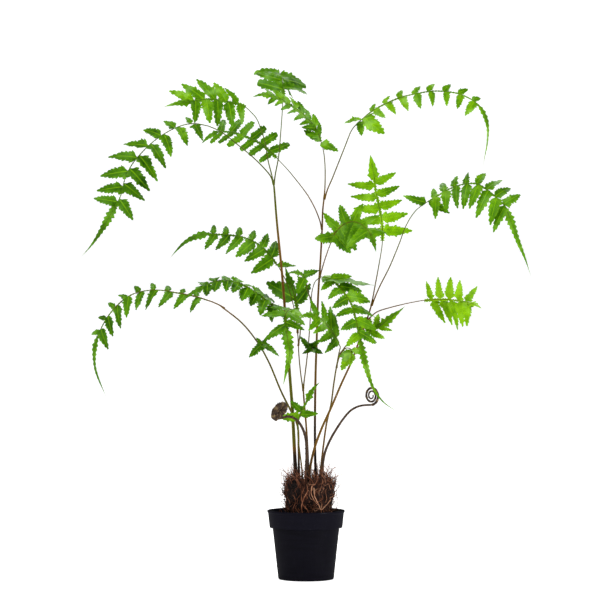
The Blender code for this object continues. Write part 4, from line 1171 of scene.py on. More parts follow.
class Shell:
    """Vertices, faces and the numbers stored with them, on the way to one mesh."""

    def __init__(self) -> None:
        """Starts empty."""
        self.vertices: list[Vector] = []
        self.faces: list[tuple] = []
        self.numbers: dict[str, dict[int, float]] = {}
        self.face_numbers: dict[str, dict[int, float]] = {}
        self.sharp: set[tuple] = set()

    def vertex(self, place: Vector, **numbers: float) -> int:
        """Adds a vertex.

        Args:
            place: Where it is.
            numbers: What is stored with it.

        Returns:
            Its index.
        """
        self.vertices.append(place)
        index = len(self.vertices) - 1
        for name, value in numbers.items():
            self.numbers.setdefault(name, {})[index] = value
        return index

    def face(self, corners: tuple, **numbers: float) -> None:
        """Adds a face.

        Args:
            corners: Its vertices, turning to the left as seen from outside.
            numbers: What is stored with it.
        """
        self.faces.append(corners)
        for name, value in numbers.items():
            self.face_numbers.setdefault(name, {})[len(self.faces) - 1] = value

    def tube(self, path: list[Vector], radii: list[float], sides: int = 10, groove: float = 0.0,
             numbers: list[dict] = (), upper: Vector = Vector((0, -1, 0.2))) -> None:
        """Adds a closed tube.

        Args:
            path: Its middle line.
            radii: Its radius at each point of the path.
            sides: Faces round it.
            groove: How deep the channel along its upper side is, as a share of its radius.
            numbers: What is stored at each point of the path.
            upper: The direction that the channel faces.
        """
        previous = []
        side = None
        for index, (point, radius) in enumerate(zip(path, radii)):
            before, after = path[max(index - 1, 0)], path[min(index + 1, len(path) - 1)]
            tangent = (after - before).normalized()
            reference = upper if side is None else side
            side = (reference - reference.dot(tangent) * tangent).normalized()
            other = tangent.cross(side)
            ring = []
            stored = numbers[index] if numbers else {}
            for step in range(sides):
                angle = math.tau * step / sides
                depth = groove * math.exp(-((min(angle, math.tau - angle) / 0.55) ** 2))
                spoke = math.cos(angle) * side + math.sin(angle) * other
                place = point + spoke * radius * (1 - depth)
                in_groove = 1.0 if depth > 0.1 else 0.0
                ring.append(self.vertex(place, groove=in_groove, around=step / sides, **stored))
            for step in range(sides):
                follow = (step + 1) % sides
                if previous:
                    self.face((previous[step], previous[follow], ring[follow], ring[step]))
            if not previous:
                self.face(tuple(reversed(ring)))
            previous = ring
        self.face(tuple(previous))

    def to_object(self, name: str) -> bpy.types.Object:
        """Makes the mesh and its object.

        Args:
            name: The object's name.

        Returns:
            The object, linked to the scene.
        """
        mesh = bpy.data.meshes.new(name)
        mesh.from_pydata(self.vertices, [], self.faces)
        for store, domain, count in ((self.numbers, "POINT", len(self.vertices)),
                                     (self.face_numbers, "FACE", len(self.faces))):
            for label, values in store.items():
                layer = mesh.attributes.new(label, "FLOAT", domain)
                layer.data.foreach_set("value", [values.get(index, 0.0) for index in range(count)])
        mesh.shade_smooth()
        if self.sharp:
            for edge in mesh.edges:
                if tuple(sorted(edge.vertices)) in self.sharp:
                    edge.use_edge_sharp = True
        mesh.update()
        made = bpy.data.objects.new(name, mesh)
        bpy.context.scene.collection.objects.link(made)
        return made


def turned(name: str, profile: list, sides: int) -> bpy.types.Object:
    """A closed solid of revolution about Z.

    Args:
        name: The object's name.
        profile: (radius, height) points from the axis to the axis, upper side first.
        sides: Faces round it.

    Returns:
        The object.
    """
    shell = Shell()
    rings = []
    for radius, height in profile:
        if radius < 1e-6:
            rings.append([shell.vertex(Vector((0, 0, height)))])
            continue
        rings.append([shell.vertex(Vector((radius * math.cos(math.tau * step / sides),
                                           radius * math.sin(math.tau * step / sides), height)))
                      for step in range(sides)])
    for upper, lower in zip(rings, rings[1:]):
        for step in range(sides):
            follow = (step + 1) % sides
            corners = [upper[step % len(upper)], lower[step % len(lower)], lower[follow % len(lower)],
                       upper[follow % len(upper)]]
            shell.face(tuple(dict.fromkeys(corners)))
    return shell.to_object(name)


# ---------------------------------------------------------------- geometry trees

class GeometryTree(Graph):
    """A geometry node tree with named inputs that ends in Realize Instances and Set Material."""

    def __init__(self, name: str) -> None:
        """Starts the tree with its geometry sockets.

        Args:
            name: The tree's name.
        """
        super().__init__(bpy.data.node_groups.new(name, "GeometryNodeTree"))
        self.tree.interface.new_socket("Geometry", in_out="INPUT", socket_type="NodeSocketGeometry")
        self.tree.interface.new_socket("Geometry", in_out="OUTPUT", socket_type="NodeSocketGeometry")
        self.entry = self.tree.nodes.new("NodeGroupInput")
        self.exit = self.tree.nodes.new("NodeGroupOutput")
        self.identifiers: dict[str, str] = {}

    def input(self, name: str, kind: str = "NodeSocketFloat") -> Wire:
        """Adds a named input.

        Args:
            name: The input's name.
            kind: Its socket type.

        Returns:
            The input's value.
        """
        socket = self.tree.interface.new_socket(name, in_out="INPUT", socket_type=kind)
        self.identifiers[name] = socket.identifier
        return Wire(self, self.entry.outputs[name])

    def geometry(self) -> Wire:
        """The geometry that comes in."""
        return Wire(self, self.entry.outputs["Geometry"])

    def stored(self, name: str, kind: str = "FLOAT") -> Wire:
        """A named attribute of the geometry.

        Args:
            name: The attribute's name.
            kind: Its data type.

        Returns:
            Its value.
        """
        made = self.tree.nodes.new("GeometryNodeInputNamedAttribute")
        made.data_type = kind
        made.inputs["Name"].default_value = name
        return Wire(self, next(item for item in made.outputs if item.name == "Attribute" and item.enabled))

    def store(self, geometry: Wire, name: str, value: Wire, kind: str = "FLOAT") -> Wire:
        """Stores a value on the points under a name."""
        return self.node(
            "GeometryNodeStoreNamedAttribute", {"data_type": kind, "domain": "POINT"},
            {"Geometry": geometry, "Name": name, "Value": value},
        )

    def chance(self, low: object, high: object, seed: object, kind: str = "FLOAT") -> Wire:
        """A random value for each point.

        Args:
            low: The least value, a Wire or a constant.
            high: The greatest value, a Wire or a constant.
            seed: The random seed, a Wire or a number.
            kind: The value's data type.

        Returns:
            The value.
        """
        made = self.tree.nodes.new("FunctionNodeRandomValue")
        made.data_type = kind
        pairs = [item for item in made.inputs if item.enabled and item.name in ("Min", "Max")]
        for socket, value in zip(pairs, (low, high)):
            if isinstance(value, Wire):
                self.tree.links.new(value.socket, socket)
            else:
                socket.default_value = value
        if isinstance(seed, Wire):
            self.tree.links.new(seed.socket, made.inputs["Seed"])
        else:
            made.inputs["Seed"].default_value = seed
        return Wire(self, next(item for item in made.outputs if item.enabled))

    def vector(self, operation: str, first: object, second: object = None) -> Wire:
        """One Vector Math node."""
        return self.node("ShaderNodeVectorMath", {"operation": operation}, {0: first, 1: second})

    def end(self, geometry: Wire) -> None:
        """Closes the tree with the material.

        Args:
            geometry: The finished geometry, with its instances realised.
        """
        material = self.input("Material", "NodeSocketMaterial")
        shaded = self.node("GeometryNodeSetMaterial", {}, {"Geometry": geometry, "Material": material})
        self.tree.links.new(shaded.socket, self.exit.inputs["Geometry"])

    def grow(self, host: bpy.types.Object, name: str, **values: object) -> bpy.types.Object:
        """Runs the tree on a host and keeps the result as a plain mesh.

        Args:
            host: The object whose mesh goes in. It is left as it is.
            name: The name of the result.
            values: A value for each named input, with underscores for spaces.

        Returns:
            A new object that holds the result.
        """
        made = bpy.data.objects.new(name, host.data)
        bpy.context.scene.collection.objects.link(made)
        modifier = made.modifiers.new("grow", "NODES")
        modifier.node_group = self.tree
        for key, value in values.items():
            modifier[self.identifiers[key.replace("_", " ")]] = value
        bpy.context.view_layer.update()
        graph = bpy.context.evaluated_depsgraph_get()
        mesh = bpy.data.meshes.new_from_object(made.evaluated_get(graph), depsgraph=graph)
        made.modifiers.clear()
        made.data = mesh
        mesh.name = name
        return made


def strand_mesh(rings: int, sides: int) -> bpy.types.Object:
    """One unit strand: `local` holds where each vertex is round it, and `along` how far along it.

    Args:
        rings: Rings along it, the pointed tip left out.
        sides: Faces round it.

    Returns:
        The hidden object that is repeated.
    """
    shell = Shell()
    places = []
    previous = []
    for ring in range(rings):
        along = ring / rings
        loop = []
        for step in range(sides):
            angle = math.tau * step / sides
            loop.append(shell.vertex(Vector((0, 0, 0)), along=along))
            places.append((math.cos(angle), math.sin(angle), along))
        if previous:
            for step in range(sides):
                follow = (step + 1) % sides
                shell.face((previous[step], previous[follow], loop[follow], loop[step]))
        else:
            shell.face(tuple(reversed(loop)))
        previous = loop
    tip = shell.vertex(Vector((0, 0, 0)), along=1.0)
    places.append((0, 0, 1))
    for step in range(sides):
        shell.face((previous[step], previous[(step + 1) % sides], tip))
    made = shell.to_object(f"strand_{rings}_{sides}")
    layer = made.data.attributes.new("local", "FLOAT_VECTOR", "POINT")
    layer.data.foreach_set("vector", [value for place in places for value in place])
    return made


def put_away(helper: bpy.types.Object) -> None:
    """Removes a helper object whose mesh has been used."""
    bpy.data.objects.remove(helper, do_unlink=True)


class StrandTree(GeometryTree):
    """Fibres, hairs or scales that grow from a surface, each with its own length, lean and curl."""

    def __init__(self) -> None:
        """Builds the tree."""
        super().__init__("strands_on_surface")
        strand = self.input("Strand", "NodeSocketObject")
        density = self.input("Density")
        spacing = self.input("Spacing")
        short, long = self.input("Shortest"), self.input("Longest")
        radius = self.input("Radius")
        flat = self.input("Flatness")
        lift = self.input("Lift")
        wander = self.input("Wander")
        curl = self.input("Curl")
        turns = self.input("Turns")
        dark, pale = self.input("Darkest"), self.input("Palest")
        trend = self.input("Trend", "NodeSocketVector")
        seed = self.input("Seed", "NodeSocketInt")
        spread = self.node(
            "GeometryNodeDistributePointsOnFaces", {"distribute_method": "POISSON"},
            {"Mesh": self.geometry(), "Distance Min": spacing, "Density Max": density, "Seed": seed},
            "Points",
        )
        normal = Wire(self, spread.socket.node.outputs["Normal"])
        scatter = self.chance((-1, -1, -1), (1, 1, 1), seed, "FLOAT_VECTOR")
        flatways = self.vector("CROSS_PRODUCT", normal, scatter)
        axis = self.vector("NORMALIZE", flatways * wander + trend + normal * lift)
        side = self.vector("NORMALIZE", self.vector("CROSS_PRODUCT", axis, normal))
        points = self.store(spread, "axis", axis, "FLOAT_VECTOR")
        points = self.store(points, "side", side, "FLOAT_VECTOR")
        points = self.store(points, "root", self.node("GeometryNodeInputPosition"), "FLOAT_VECTOR")
        points = self.store(points, "length", self.chance(short, long, seed + 1.0))
        points = self.store(points, "phase", self.chance(0.0, math.tau, seed + 2.0))
        points = self.store(points, "shade", self.chance(dark, pale, seed + 3.0))
        source = self.node("GeometryNodeObjectInfo", {}, {"Object": strand}, "Geometry")
        placed = self.node("GeometryNodeInstanceOnPoints", {}, {"Points": points, "Instance": source})
        real = self.node("GeometryNodeRealizeInstances", {}, {"Geometry": placed})
        local = self.stored("local", "FLOAT_VECTOR")
        parts = self.node("ShaderNodeSeparateXYZ", {}, {0: local}).socket.node.outputs
        x, y, along = (Wire(self, part) for part in parts)
        axis, side = self.stored("axis", "FLOAT_VECTOR"), self.stored("side", "FLOAT_VECTOR")
        other = self.vector("CROSS_PRODUCT", axis, side)
        length, phase = self.stored("length"), self.stored("phase")
        thick = radius * (1.0 - along * 0.75)
        swing = along * length * curl
        sway = side * (swing * (along * turns + phase).sine() + x * thick)
        rise = other * (swing * (along * turns * 0.7 + phase * 1.9).sine() + y * thick * (1.0 - flat))
        place = self.stored("root", "FLOAT_VECTOR") + axis * (along * length) + sway + rise
        shaped = self.node("GeometryNodeSetPosition", {}, {"Geometry": real, "Position": place})
        self.end(shaped)


class LeafletTree(GeometryTree):
    """Leaflets on the points of a rachis: each point says how its own leaflet lies, bends and twists."""

    def __init__(self) -> None:
        """Builds the tree."""
        super().__init__("leaflets_on_rachis")
        leaflet = self.input("Leaflet", "NodeSocketObject")
        ripple = self.input("Ripple")
        cup = self.input("Cup")
        thickness = self.input("Thickness")
        source = self.node("GeometryNodeObjectInfo", {}, {"Object": leaflet}, "Geometry")
        placed = self.node("GeometryNodeInstanceOnPoints", {},
                           {"Points": self.geometry(), "Instance": source})
        real = self.node("GeometryNodeRealizeInstances", {}, {"Geometry": placed})
        local = self.stored("local", "FLOAT_VECTOR")
        parts = self.node("ShaderNodeSeparateXYZ", {}, {0: local}).socket.node.outputs
        x, y, z = (Wire(self, part) for part in parts)
        out, ahead, up = (self.stored(name, "FLOAT_VECTOR") for name in ("out", "ahead", "up"))
        length, width = self.stored("length"), self.stored("width")
        droop, sweep, twist = self.stored("droop"), self.stored("sweep"), self.stored("twist")
        phase = self.stored("phase")
        uneven = (x * 31.0 + phase * 1.7).sine() * 0.09 + (x * 13.0 + phase * 3.1).sine() * 0.07 + 1.0
        half = y * uneven * width * length * 0.5
        turn = twist * x
        forwards = half * (1.0 - turn * turn * 0.5) + sweep * x * x * length
        across = abs(y)
        waves = (x * 17.0 + phase).sine() * y + (x * 9.0 + phase * 2.3).sine() * across * 0.6
        height = half * turn + z * thickness - droop * x * x * length
        height = height + (across * across * cup * self.stored("cupped") + waves * ripple) * width * length
        place = self.stored("root", "FLOAT_VECTOR") + out * (x * length) + ahead * forwards + up * height
        shaped = self.node("GeometryNodeSetPosition", {}, {"Geometry": real, "Position": place})
        turned_over = self.node("FunctionNodeCompare", {"data_type": "FLOAT", "operation": "GREATER_THAN"},
                                {0: self.stored("mirrored"), 1: 0.5})
        facing = self.node("GeometryNodeFlipFaces", {}, {"Mesh": shaped, "Selection": turned_over})
        self.end(facing)


class CrumbTree(GeometryTree):
    """Crumbs scattered over a surface, each turned and sized by chance."""

    def __init__(self) -> None:
        """Builds the tree."""
        super().__init__("crumbs_on_surface")
        crumb = self.input("Crumb", "NodeSocketObject")
        density, spacing = self.input("Density"), self.input("Spacing")
        small, large = self.input("Smallest"), self.input("Largest")
        palest = self.input("Palest")
        seed = self.input("Seed", "NodeSocketInt")
        spread = self.node(
            "GeometryNodeDistributePointsOnFaces", {"distribute_method": "POISSON"},
            {"Mesh": self.geometry(), "Distance Min": spacing, "Density Max": density, "Seed": seed},
            "Points",
        )
        pale = self.chance(0.0, 1.0, seed + 5.0) ** 7.0
        points = self.store(spread, "pale", pale * palest)
        source = self.node("GeometryNodeObjectInfo", {}, {"Object": crumb}, "Geometry")
        turn = self.chance((0, 0, 0), (math.tau, math.tau, math.tau), seed, "FLOAT_VECTOR")
        size = self.chance((0.6, 0.6, 0.6), (1.3, 1.1, 1.0), seed + 1.0, "FLOAT_VECTOR")
        scale = size * self.chance(small, large, seed + 2.0)
        placed = self.node("GeometryNodeInstanceOnPoints", {},
                           {"Points": points, "Instance": source, "Rotation": turn, "Scale": scale})
        self.end(self.node("GeometryNodeRealizeInstances", {}, {"Geometry": placed}))

# ---------------------------------------------------------------- the plant

@dataclass
class Pinna:
    """One pinna with its leaflets, made from its plan."""

    frond: str
    plan: Blade
    dress: Dress
    seed: int

    def spine(self) -> Spine:
        """The rachis as a path."""
        return Spine(self.plan.rachis, self.plan.face)

    def leaflet_points(self) -> tuple[list[Vector], dict]:
        """Where each leaflet grows and how it lies.

        Returns:
            The points, and the numbers and vectors stored on them.
        """
        spine, plan, dress = self.spine(), self.plan, self.dress
        chance = random.Random(self.seed)
        first = plan.first * CM
        lobe_start = spine.length - plan.end_lobe * CM
        pitch = (lobe_start - first) / max(1, plan.pairs)
        stored: dict[str, list] = {}
        points = []

        def add(distance: float, sign: float, reach: Vector, droop: float) -> None:
            """Adds one leaflet.

            Args:
                distance: Where it leaves the rachis, in metres from the start.
                sign: The side that it is on.
                reach: From its foot to its tip.
                droop: How far its tip sinks, as a share of its length.
            """
            position, tangent, normal, side = spine.at(distance)
            out = reach.normalized()
            ahead = (tangent - tangent.dot(out) * out).normalized()
            up = out.cross(ahead)
            mirrored = up.dot(normal) < 0
            if mirrored:
                up = -up
            # the leaflet turns on its stalk towards the light, which the plan's face gives
            light = spine.face[0].lerp(spine.face[1], distance / spine.length)
            light = (light - light.dot(out) * out).normalized()
            up = (up * (1.0 - dress.turn) + light * dress.turn).normalized()
            ahead = up.cross(out) * (-1.0 if mirrored else 1.0)
            length = reach.length
            roll = chance.uniform(-1, 1) * dress.roll
            cosine, sine = math.cos(roll), math.sin(roll)
            ahead, up = ahead * cosine + up * sine, up * cosine - ahead * sine
            points.append(position)
            for name, value in (
                ("root", position + side * sign * 0.0004), ("out", out), ("ahead", ahead), ("up", up),
                ("length", length), ("width", dress.width * chance.uniform(0.9, 1.12)),
                ("droop", droop * chance.uniform(0.7, 1.3)), ("sweep", chance.uniform(-0.02, 0.10)),
                ("twist", chance.uniform(-0.5, 0.5) * dress.twist), ("phase", chance.uniform(0, math.tau)),
                ("cupped", chance.uniform(-0.6, 1.0)), ("mirrored", 1.0 if mirrored else 0.0),
                ("tone", min(1.0, max(0.0, dress.tone + chance.uniform(-0.13, 0.13)))),
                ("gloss", dress.gloss),
            ):
                stored.setdefault(name, []).append(value)

        for index in range(plan.pairs):
            share = (index + 0.5) / plan.pairs
            for sign, knots in ((Side.LEFT.value, plan.left), (Side.RIGHT.value, plan.right)):
                distance = first + (index + 0.5 + 0.10 * sign) * pitch
                _, tangent, _, side = spine.at(distance)
                length, lean = between(knots, share)
                lean = math.radians(lean + chance.uniform(-5, 5))
                out = (math.cos(lean) * tangent + math.sin(lean) * sign * side).normalized()
                add(distance, sign, out * length * CM * chance.uniform(0.95, 1.06), plan.droop)
        for name, along, tip in plan.singles:
            sign = Side[name.upper()].value
            position = spine.at(along * CM)[0]
            add(along * CM, sign, metres(tip) - position, 0.0)
        return points, stored

    def tail(self) -> Shell:
        """The end lobe, with the green wing that joins the leaflets' bases along the rachis.

        Returns:
            The shell that both are in.
        """
        shell = Shell()
        spine, plan, dress = self.spine(), self.plan, self.dress
        start = spine.length - plan.end_lobe * CM
        widest = plan.end_lobe_width * CM * dress.tail_width / 2

        def lobe(share: float) -> float:
            """The end lobe's half width at a share of the way along it."""
            return widest * min(0.45 + 3.4 * share, 1.12 * (1.0 - share) ** dress.tail_taper)

        rows = 2 * max(5, round(plan.end_lobe * dress.tail_lobes))
        self._strip(shell, start - 0.002, spine.length, rows, lobe, dress.tail_teeth, 0.9)
        if dress.wing:
            first = max(0.002, plan.first * CM - 0.004)
            rows = 2 * max(4, round((start - first) / 0.0045))
            self._strip(shell, first, start + 0.001, rows,
                        lambda share: dress.wing * (1.0 - 0.3 * share), 0.45, 0.1)
        return shell

    def _strip(self, shell: Shell, start: float, end: float, rows: int, half_width: object, teeth: float,
               fade: float) -> None:
        """Adds a leafy strip along the rachis with a toothed edge.

        Args:
            shell: What it is added to.
            start: Where it starts along the rachis.
            end: Where it ends.
            rows: Rows of faces, two to a tooth.
            half_width: A function of the share of the way along.
            teeth: How deep the teeth are, as a share of the half width.
            fade: How much shallower the teeth are at the end.
        """
        spine, dress = self.spine(), self.dress
        chance = random.Random(self.seed + rows)
        tone = dress.tone + 0.04
        columns = (-1.0, -0.5, 0.0, 0.5, 1.0)
        previous = None
        for row in range(rows + 1):
            share = row / rows
            position, tangent, normal, side = spine.at(start + share * (end - start))
            half = max(0.0, half_width(share))
            depth = teeth * (1.0 - fade * share) * chance.uniform(0.7, 1.2)
            is_tooth = row % 2 == 0
            notch = 1.0 + 0.30 * depth if is_tooth else 1.0 - depth
            along = (end - start) / 0.04 * share
            rings = []
            for layer in (1, -1):
                ring = []
                for column in columns:
                    edge = abs(column)
                    if layer < 0 and edge == 1.0:
                        ring.append(rings[0][columns.index(column)])
                        continue
                    rim = notch if edge == 1.0 else 1.0 - 0.4 * depth * (not is_tooth)
                    forward = tangent * (0.30 * half * teeth if edge == 1.0 and is_tooth else 0.0)
                    place = position + side * column * half * rim + forward
                    place += normal * (layer * 0.00016 * (1 - edge) - 0.16 * half * edge ** 2)
                    place += normal * 0.14 * half * edge * math.sin(share * 11 + column * 2 + self.seed)
                    ring.append(shell.vertex(place, along=along, across=column, tone=tone, gloss=dress.gloss))
                rings.append(ring)
            if previous:
                for layer in (0, 1):
                    low, high = previous[layer], rings[layer]
                    for left in range(4):
                        corners = (low[left], low[left + 1], high[left + 1], high[left])
                        faced = corners if layer == 0 else tuple(reversed(corners))
                        shell.face(faced, underside=float(layer))
                for rim in (0, 4):
                    shell.sharp.add(tuple(sorted((previous[0][rim], rings[0][rim]))))
            else:
                shell.face((rings[1][0], rings[1][1], rings[1][2], rings[1][3], rings[1][4],
                            rings[0][3], rings[0][2], rings[0][1]), underside=1.0)
            previous = rings
        shell.face((previous[0][0], previous[0][1], previous[0][2], previous[0][3], previous[0][4],
                    previous[1][3], previous[1][2], previous[1][1]), underside=0.0)

    def build(self, tree: LeafletTree, leaflets: dict, material: bpy.types.Material) -> bpy.types.Object:
        """Makes the leaflets and the end lobe as one mesh.

        Args:
            tree: The tree that places leaflets.
            leaflets: The leaflet of each form.
            material: The leaf material.

        Returns:
            The finished piece.
        """
        name = f"{self.frond}_{self.plan.name}_leaflets"
        made = self.tail().to_object(name)
        made.data.materials.append(material)
        points, stored = self.leaflet_points()
        if points:
            mesh = bpy.data.meshes.new(name + "_points")
            mesh.from_pydata(points, [], [])
            for label, values in stored.items():
                if isinstance(values[0], Vector):
                    layer = mesh.attributes.new(label, "FLOAT_VECTOR", "POINT")
                    layer.data.foreach_set("vector", [part for value in values for part in value])
                else:
                    mesh.attributes.new(label, "FLOAT", "POINT").data.foreach_set("value", values)
            host = bpy.data.objects.new(name + "_points", mesh)
            grown = tree.grow(host, name + "_grown", Leaflet=leaflets[self.dress.form],
                              Ripple=self.dress.ripple, Cup=0.25, Thickness=0.00016, Material=material)
            join(made, [grown])
            bpy.data.objects.remove(host, do_unlink=True)
        made.data.name = name
        return made


def join(target: bpy.types.Object, others: list[bpy.types.Object]) -> None:
    """Joins meshes into the first one's object.

    Args:
        target: The object that stays.
        others: The objects that are joined into it.
    """
    with bpy.context.temp_override(active_object=target, object=target, selected_objects=[target, *others],
                                   selected_editable_objects=[target, *others]):
        bpy.ops.object.join()


# how far a lobe's rows stand out of the leaflet's edge, from notch to notch
LOBE = (-1.0, 0.15, 0.45)


@dataclass
class LeafletShape:
    """One form of leaflet: the half width on its front and back edges, and its teeth."""

    form: Form
    rows: int
    tooth: float
    front: tuple
    back: tuple

    @staticmethod
    def outline(stops: tuple, share: float) -> float:
        """The half width at a share of the length.

        Args:
            stops: (share, half width) pairs in order.
            share: The share that is asked for.

        Returns:
            The half width, or 0 past the last stop.
        """
        for (low, start), (high, end) in zip(stops, stops[1:]):
            if share <= high:
                return start + (end - start) * (share - low) / (high - low)
        return 0.0

    def build(self) -> bpy.types.Object:
        """Makes the leaflet with its place kept in an attribute.

        Returns:
            The helper object that the leaflet tree repeats.
        """
        shell = Shell()
        places = []
        columns = (-1.0, -0.5, 0.0, 0.5, 1.0)
        previous = None
        for row in range(self.rows + 1):
            share = (row / self.rows) ** 1.08
            rings = []
            for layer in (1, -1):
                ring = []
                for column in columns:
                    edge = abs(column)
                    if layer < 0 and edge == 1.0:
                        ring.append(rings[0][columns.index(column)])
                        continue
                    half = self.outline(self.front if column > 0 else self.back, share)
                    swell = self.tooth * LOBE[row % len(LOBE)]
                    rim = 1.0 + swell if edge == 1.0 else 1.0 + 0.4 * min(0.0, swell)
                    forward = 0.9 / self.rows if edge == 1.0 and swell > 0 and row < self.rows else 0.0
                    ring.append(shell.vertex(Vector((0, 0, 0)), along=share, across=column))
                    places.append((share + forward, half * rim * column, layer * (1 - edge)))
                rings.append(ring)
            if previous:
                for layer in (0, 1):
                    low, high = previous[layer], rings[layer]
                    for left in range(4):
                        corners = (low[left + 1], low[left], high[left], high[left + 1])
                        faced = tuple(reversed(corners)) if layer == 0 else corners
                        shell.face(faced, underside=float(layer))
                for rim in (0, 4):
                    shell.sharp.add(tuple(sorted((previous[0][rim], rings[0][rim]))))
            previous = rings
        made = shell.to_object(f"leaflet_{self.form.value}")
        layer = made.data.attributes.new("local", "FLOAT_VECTOR", "POINT")
        layer.data.foreach_set("vector", [value for place in places for value in place])
        return made


SHAPES = (
    LeafletShape(
        Form.EARED, 24, 0.15,
        ((0.0, 0.10), (0.03, 0.75), (0.08, 1.30), (0.13, 1.25), (0.19, 0.92), (0.35, 0.88),
         (0.50, 0.78), (0.65, 0.62), (0.80, 0.42), (0.91, 0.22), (1.0, 0.0)),
        ((0.0, 0.10), (0.04, 0.40), (0.10, 0.78), (0.17, 0.90), (0.24, 0.86), (0.35, 0.82),
         (0.50, 0.73), (0.65, 0.58), (0.80, 0.39), (0.91, 0.20), (1.0, 0.0)),
    ),
    LeafletShape(
        Form.CUT, 20, 0.15,
        ((0.0, 0.35), (0.04, 1.10), (0.10, 1.30), (0.20, 1.10), (0.35, 1.02), (0.50, 0.92),
         (0.65, 0.76), (0.80, 0.52), (0.92, 0.26), (1.0, 0.0)),
        ((0.0, 0.35), (0.04, 0.75), (0.10, 0.98), (0.20, 1.00), (0.35, 0.96), (0.50, 0.86),
         (0.65, 0.70), (0.80, 0.48), (0.92, 0.24), (1.0, 0.0)),
    ),
    LeafletShape(
        Form.BLUNT, 18, 0.16,
        ((0.0, 0.45), (0.04, 0.95), (0.12, 1.00), (0.30, 0.92), (0.55, 0.90), (0.75, 0.82),
         (0.88, 0.62), (0.96, 0.36), (1.0, 0.0)),
        ((0.0, 0.45), (0.04, 0.80), (0.12, 0.90), (0.30, 0.88), (0.55, 0.86), (0.75, 0.78),
         (0.88, 0.58), (0.96, 0.32), (1.0, 0.0)),
    ),
)


@dataclass
class FrondStem:
    """One frond's stipe with its stalks and rachises, as ribbed tubes."""

    plan: Frond
    tints: tuple

    def tint(self, height: float) -> float:
        """The colour at a height.

        Args:
            height: Centimetres above the pot's foot.

        Returns:
            The place on the stem's colour ramp.
        """
        for (low, start), (high, end) in zip(self.tints, self.tints[1:]):
            if height <= high:
                return start + (end - start) * max(0.0, height - low) / (high - low)
        return self.tints[-1][1]

    def build(self, material: bpy.types.Material) -> bpy.types.Object:
        """Makes the stem.

        Args:
            material: The stem material.

        Returns:
            The finished piece.
        """
        shell = Shell()
        path = smooth([metres(point) for point in self.plan.stipe], 7)
        thick, thin = (radius * CM for radius in self.plan.radius)
        radii = [thick + (thin - thick) * index / (len(path) - 1) for index in range(len(path))]
        radii = [radius * (1 + 0.25 * math.exp(-((point.z - 0.15) / 0.02) ** 2))
                 for point, radius in zip(path, radii)]
        shell.tube(path, radii, 12, 0.22, [{"tint": min(1.0, self.tint(point.z / CM))} for point in path])
        for blade in self.plan.blades:
            self._add_branch(shell, blade)
        made = shell.to_object(f"{self.plan.name}_frond_stem")
        made.data.materials.append(material)
        return made

    def _add_branch(self, shell: Shell, blade: Blade) -> None:
        """Adds a stalk with its swollen foot, and its rachis.

        Args:
            shell: What they are added to.
            blade: The plan of the pinna.
        """
        stalk = smooth([metres(point) for point in blade.stalk], 6)
        spine = Spine(blade.rachis, blade.face)
        path = stalk + spine.points[1:]
        ends = spine.length - 0.35 * blade.end_lobe * CM
        foot, top = blade.stalk_radius[0] * CM, 0.030 * CM
        lengths = [0.0]
        for start, end in zip(path, path[1:]):
            lengths.append(lengths[-1] + (end - start).length)
        total = lengths[-1] - spine.length + ends
        kept = [index for index, value in enumerate(lengths) if value <= total]
        path, lengths = path[:kept[-1] + 1], lengths[:kept[-1] + 1]
        radii = [foot + (top - foot) * (value / total) ** 0.8 for value in lengths]
        radii = [radius * (1 + 0.7 * math.exp(-(value / 0.006) ** 2))
                 for radius, value in zip(radii, lengths)]
        numbers = [{"tint": min(1.0, self.tint(point.z / CM) + 0.30 * (value / total) ** 1.5)}
                   for point, value in zip(path, lengths)]
        shell.tube(path, radii, 8, 0.16, numbers)


